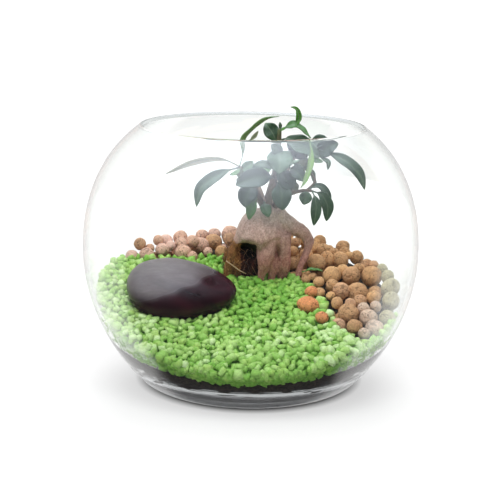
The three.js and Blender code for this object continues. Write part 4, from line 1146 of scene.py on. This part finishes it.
# Each shoot: its twigs as rows of x, y, z and radius, and its leaves as the points along the rib,
# the width, the way it faces and how young it is.
SHOOTS = {
    "leader": (
        [[(12.5, 40, 124, 3.4), (15, 37, 135, 3.1), (17.5, 33, 147.5, 2.6), (19, 30, 161.5, 2.2),
          (19.5, 28, 178.5, 1.5)],
         [(17.5, 33, 147, 2.2), (25, 32, 153.5, 1.9), (33.5, 30, 160, 1.6), (42, 28, 164, 1.3),
          (48, 27, 166, 1)]],
        [([(18, 30, 166.5), (15.5, 31, 173), (12.5, 33, 177.5), (9, 36, 181.5)], 11.5, FRONT, 0.1),
         ([(19.5, 28, 177.5), (20, 28, 180.5), (19.5, 28, 183.5)], 2.4, FRONT, 0.0),
         ([(25, 25, 180.5), (29.5, 25, 181.7), (32.6, 24, 185), (33, 23.5, 189.2), (31.2, 22, 193.8),
           (26.8, 20, 195.6)],
          4.2, HALF, 0.8),
         ([(19.2, 27.5, 176.6), (21.5, 26.5, 178.4), (25, 25, 180.3)], 2.2, HALF, 1.0),
         ([(20.5, 28, 177.8), (24.8, 25, 180.6), (29.8, 22.5, 182), (34.8, 21, 179.3), (42.1, 19, 173.2)],
          8.2, ROLLED, 0.42),
         ([(40.5, 19.5, 173.5), (42.1, 14, 164.8), (41.1, 9, 156.1), (38.7, 5, 147.3), (34.9, 3, 139.6)],
          6.2, ROLLED, 0.8),
         ([(19.5, 30, 169.5), (26, 27, 171.5), (34.5, 22, 168), (43, 18, 163.5), (48, 16, 159.5)],
          14.5, HALF, 0.1),
         ([(19, 29, 166), (19.5, 24, 161.5), (20, 18, 156), (19, 14, 148)], 19, FRONT, 0.15),
         ([(40, 29, 163), (45, 29.5, 167), (50.5, 30, 170), (57, 30, 168.5)], 10, HALF, 0.0),
         ([(44, 28, 158), (49.5, 27, 162.5), (56, 26, 167), (62.5, 25, 169.5)], 12.5, FRONT, 0.0),
         ([(48.5, 27, 165), (59.8, 25, 160.5), (70, 20, 155.5), (78.3, 16, 147.3), (81.7, 12, 137.6)],
          9.5, HALF, 0.05),
         ([(48, 26, 160), (52, 24, 158), (55.5, 22, 155.5), (55, 21, 150.5)], 3.6, HALF, 0.1),
         ([(42.5, 27, 159), (45, 25, 157.5), (48, 23, 156.5), (51.5, 22, 156.3)], 4.8, HALF, 0.5),
         ([(42.2, 27, 155.6), (35.9, 26, 161.8), (29.7, 25, 166.7), (25, 25, 170.2)], 13, FRONT, 0.0),
         ([(22, 26, 158.8), (18.2, 24, 163.9), (13.7, 24, 168.3)], 8, FRONT, 0.1)],
    ),
    "left": (
        [[(9, 39.4, 119, 2.8), (4.5, 35.5, 128, 2.5), (0, 31, 138.5, 2), (-4.5, 27, 146, 1.6),
          (-9, 25, 151, 1)]],
        [([(-9, 25, 151), (-6.4, 26, 162.5), (-5.4, 27, 170.8), (-0.2, 27.5, 177.2), (5.7, 27.5, 182.2),
           (11.7, 28, 186), (18.9, 28.5, 187.6)],
          10.5, SLANTED, 0.5),
         ([(-3, 28, 169), (-0.5, 28, 171), (2, 28, 173.6), (4, 28, 176.8)], 2.8, FRONT, 1.3),
         ([(-9, 25, 151), (-19.1, 23, 156.1), (-29.9, 21, 157.1), (-44.9, 17, 154.4), (-62.5, 12, 146.6)],
          5, UNDER, 1.43),
         ([(-9, 25, 150.5), (-17.5, 23, 148.5), (-24, 21, 145.6), (-31.1, 18, 141.6), (-37.8, 15, 134.8),
           (-39.8, 12, 122.7)],
          9, FRONT, 0.1),
         ([(-9.5, 25, 147.5), (-5.9, 25, 149.8), (-2.3, 26, 152.3), (0.6, 27, 155.2)], 7, FRONT, 0.3),
         ([(-8, 25, 150.5), (-11.5, 22, 147), (-16.5, 20, 145.5)], 3.5, HALF, 0.6),
         ([(0, 31, 138.5), (3, 30, 147), (6.5, 29, 151.5), (11.5, 28, 155)], 9, HALF, 0.1),
         ([(0.5, 32, 137), (-1.5, 25, 133.5), (-4, 21, 128.5), (-4.5, 19, 122)], 14, FRONT, 0.0)],
    ),
    "front": (
        [[(12.5, 34, 119, 2.7), (13, 31.5, 126, 2.3), (14, 28.5, 135, 2), (17, 25, 142, 1.7),
          (25.5, 21, 152, 1)]],
        [([(18.5, 24.5, 143), (11.5, 21, 144.6), (-0.5, 17, 143.4), (-11.8, 14.5, 138.9)], 15, FRONT, 0.0),
         ([(32.7, 24, 134.5), (27.5, 21, 140.2), (22, 21, 145.5), (18.2, 22, 149)], 13, FRONT, 0.0),
         ([(18, 26, 147.5), (14.5, 25, 151.3), (5.7, 25, 153), (1.6, 26, 151.5)], 7, HALF, 0.1),
         ([(18.5, 24.5, 143.5), (23.5, 23, 145), (27, 22, 143.5), (30.5, 21, 140)], 9, FRONT, 0.0),
         ([(25.5, 21, 152), (29, 20, 151), (33.5, 17, 148), (37.5, 15, 142.5)], 10, FRONT, 0.0),
         ([(16.5, 25.5, 141), (20.5, 21, 137.5), (22, 18, 130), (22.5, 18, 120.5)], 14.5, FRONT, 0.05),
         ([(9.5, 30, 124), (10, 26, 121.5), (11.5, 23.5, 118), (12.9, 22, 114.2)], 8, FRONT, 0.25),
         ([(4, 30, 127), (1, 26, 122.5), (-0.8, 24, 117), (-1.5, 23, 111.8)], 7.5, FRONT, 0.6)],
    ),
    "right": (
        [[(17, 38, 119, 2.7), (21.5, 35.5, 125.5, 2.1), (29, 32, 130.5, 1.6), (37.5, 28, 133.5, 1.3),
          (44, 25, 134, 1)],
         [(40, 27, 133.5, 1), (46.5, 29, 140.5, 0.8), (43.5, 31, 146, 0.6)]],
        [([(40.9, 27, 134.4), (40.5, 25, 132.1), (39.5, 24, 128.5), (38.3, 23, 123.8)], 9.5, FRONT, 0.2),
         ([(44, 25, 134), (46.5, 22, 129), (47.3, 20, 120.5), (46, 19, 109)], 8, FRONT, 0.1),
         ([(44, 25, 134), (51.5, 24, 131), (56, 23, 122.5), (55.2, 22, 112)], 9, FRONT, 0.1),
         ([(41, 26.5, 134), (48, 27, 137.5), (54.5, 27, 133.5), (58.5, 27, 125.5)], 6, HALF, 0.1)],
    ),
    "back_left": (
        [[(9.5, 43, 119, 2.6), (6, 50, 129, 2.2), (2, 57, 136, 1.6)]],
        [([(2, 57, 136), (-2, 68, 140), (-5, 80, 136), (-6, 92, 126)], 15, TOP, 0.2),
         ([(2.5, 56, 135), (-2, 62, 137.5), (-6, 67, 134), (-7.5, 72, 127)], 12, TOP, 0.1),
         ([(4, 54, 133), (8, 66, 141), (10, 76, 144), (11, 86, 142)], 14, TOP, 0.4),
         ([(6.5, 49, 128), (3, 56, 125), (0, 62, 117), (-1, 66, 108)], 12, TOP, 0.0)],
    ),
    "back_right": (
        [[(15.5, 42.5, 119, 2.6), (19, 50, 131, 2.2), (24, 58, 140, 1.7), (28, 64, 145, 1.2)]],
        [([(28, 64, 145), (33, 74, 149), (37, 84, 146), (39, 94, 137)], 16, TOP, 0.2),
         ([(26.5, 62, 143), (36, 66, 145), (44, 69, 140), (49, 71, 131)], 14, TOP, 0.1),
         ([(24, 58, 140), (22, 70, 148), (21, 80, 151), (20, 90, 148)], 14, TOP, 0.5),
         ([(20, 51.5, 132), (27, 59, 134), (31, 66, 130), (33, 72, 122.5)], 11, TOP, 0.0)],
    ),
}
DROPPED_LEAF = ([(38.5, 33, 70.4), (46, 33, 72.2), (54.5, 34, 71.2)], 6.5, TOP, 0.8)
STALK_SHARE = 0.16
LEAF_LONG, LEAF_WIDE = 26, 10  # the faces along a blade and across it
LEAF_THICKNESS = 0.5
LEAF_CUP = 0.16
TWIG_SIDES = 10
YOUNG = 0.7  # the tint of the youngest leaf, whose age here is 1; past that, the row's leaf is a dry one
DRY_LEAF = (0.34, 0.31, 0.22)
MIDRIB = (0.018, 0.045)  # its line fades out between these places beside the middle
VEIN_SLANT, VEINS_CLOSE, VEIN_FAINT = -0.16, 95, 0.45
OLD_WOOD = [(0, (0.05, 0.038, 0.026)), (1, (0.24, 0.18, 0.125))]
YOUNG_WOOD = (0.06, 0.075, 0.03)
YOUNG_ABOVE = (0.166, 0.176)  # where the topmost twig turns olive


def leaf_half_width(share, width):
    if share <= STALK_SHARE:
        return 0.5
    t = (share - STALK_SHARE) / (1 - STALK_SHARE)
    return max(width / 2 * math.sin(math.pi * t ** 0.88) ** 0.75, 0.12) if t < 1 else 0.05


def add_leaf(mesh, rib, width, attitude, youth, number, tint_layer, uv_layer):
    """One leaf, bent from a flat grid onto its rib, cupped and slightly waved."""
    kind, way = attitude
    path = [row.xyz for row in smooth_path([(*p, 0) for p in rib], 12)]
    lengths = [0.0]
    for a, b in zip(path, path[1:]):
        lengths.append(lengths[-1] + (b - a).length)
    blade = bmesh.ops.create_grid(mesh, x_segments=LEAF_WIDE, y_segments=LEAF_LONG, size=1, calc_uvs=False)
    shares = {}
    for vertex in blade["verts"]:
        v, u = vertex.co.x, (vertex.co.y + 1) / 2
        goal = u * lengths[-1]
        k = max(i for i in range(len(path) - 1) if lengths[i] <= goal + 1e-9)
        t = (goal - lengths[k]) / (lengths[k + 1] - lengths[k])
        middle = path[k].lerp(path[k + 1], t)
        along = (path[min(k + 2, len(path) - 1)] - path[max(k - 1, 0)]).normalized()
        if kind == "side":
            across = Vector(way) - along * along.dot(Vector(way))
        else:
            across = along.cross(Vector(way))
        across.normalize()
        up = across.cross(along).normalized()
        half = leaf_half_width(u, width)
        wave = 0.05 * width * math.sin(u * 17 + number * 2.1 + (1.5 if v > 0 else 0)) * v * v
        fold = half * LEAF_CUP * (2 * abs(v) ** 1.4)
        vertex.co = (middle + across * v * half + up * (fold + wave * min(1, half))) * MM
        vertex[tint_layer] = youth * YOUNG
        shares[vertex] = (v, u)
    for face in {f for vertex in shares for f in vertex.link_faces}:
        for loop in face.loops:
            v, u = shares[loop.vert]
            loop[uv_layer].uv = (v * leaf_half_width(u, width) / 10 + 0.5, u * lengths[-1] / 60)


def leaf_finish(name, dark, young, rib_colour, roughness, bump):
    """Two greens by the leaf's age, with the midrib and side veins drawn along its own UV map."""
    material, tree, shader = plain_finish(name)
    greens = colours_of(tree, kept_as(tree, "tint"), [(0, dark), (YOUNG, young), (1, DRY_LEAF)])
    flat = tree.nodes.new("ShaderNodeUVMap")
    flat.uv_map = "blade"
    on_blade = parts_of(tree, flat.outputs["UV"])
    aside = math_of(tree, "ABSOLUTE", math_of(tree, "SUBTRACT", on_blade["X"], 0.5))
    midrib = ranged(tree, aside, *MIDRIB, 1, 0)
    slanted = math_of(tree, "MULTIPLY_ADD", aside, VEIN_SLANT, on_blade["Y"])
    waves = math_of(tree, "SINE", math_of(tree, "MULTIPLY", slanted, VEINS_CLOSE))
    veins = math_of(tree, "MAXIMUM", midrib, ranged(tree, waves, 0.86, 1.0, 0, VEIN_FAINT))
    mottled = dappled(tree, greens, noise_at(tree, object_place(tree), 160, 4), 0, 1, 0.7, 1.3)
    feed(tree, shader.inputs["Base Color"], mixed(tree, veins, mottled, rib_colour))
    raise_relief(tree, shader, veins, bump, 0.0004)
    shader.inputs["Roughness"].default_value = roughness
    return material


leaf_above = leaf_finish(
    "leaf_upper_side", (0.022, 0.047, 0.027), (0.06, 0.21, 0.015), (0.085, 0.13, 0.07), 0.42, -0.4,
)
leaf_below = leaf_finish(
    "leaf_under_side", (0.07, 0.10, 0.065), (0.17, 0.31, 0.07), (0.16, 0.20, 0.13), 0.6, 0.5,
)

twig_bark, tree, shader = plain_finish("twig_bark")
place = object_place(tree)
scurf = noise_at(tree, place, 500, 5)
younger = ranged(tree, parts_of(tree, place)["Z"], *YOUNG_ABOVE)
feed(tree, shader.inputs["Base Color"], mixed(tree, younger, colours_of(tree, scurf, OLD_WOOD), YOUNG_WOOD))
raise_relief(tree, shader, scurf, 0.5, 0.0004)
shader.inputs["Roughness"].default_value = 0.7


def leaves_piece(name, leaves):
    mesh = bmesh.new()
    tint_layer = mesh.verts.layers.float.new("tint")
    uv_layer = mesh.loops.layers.uv.new("blade")
    for number, (rib, width, attitude, youth) in enumerate(leaves):
        add_leaf(mesh, rib, width, attitude, youth, number, tint_layer, uv_layer)
    piece = piece_of(name, mesh, [leaf_above, leaf_below])
    thick = piece.modifiers.new("thickness", "SOLIDIFY")
    thick.thickness = LEAF_THICKNESS * MM
    thick.offset = 0
    thick.material_offset = 1
    return piece


for name, (twigs, leaves) in SHOOTS.items():
    blades = leaves_piece(f"leaves_{name}", leaves)
    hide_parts(f"shoot_{name}")
    wood = bmesh.new()
    for twig in twigs:
        add_limb(wood, twig, TWIG_SIDES)
    bmesh.ops.recalc_face_normals(wood, faces=wood.faces)
    stems = piece_of(f"twigs_{name}", wood, [twig_bark])
    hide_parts(f"shoot_{name}")

fallen = leaves_piece("dropped_leaf", [DROPPED_LEAF])
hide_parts("fallen_leaf")
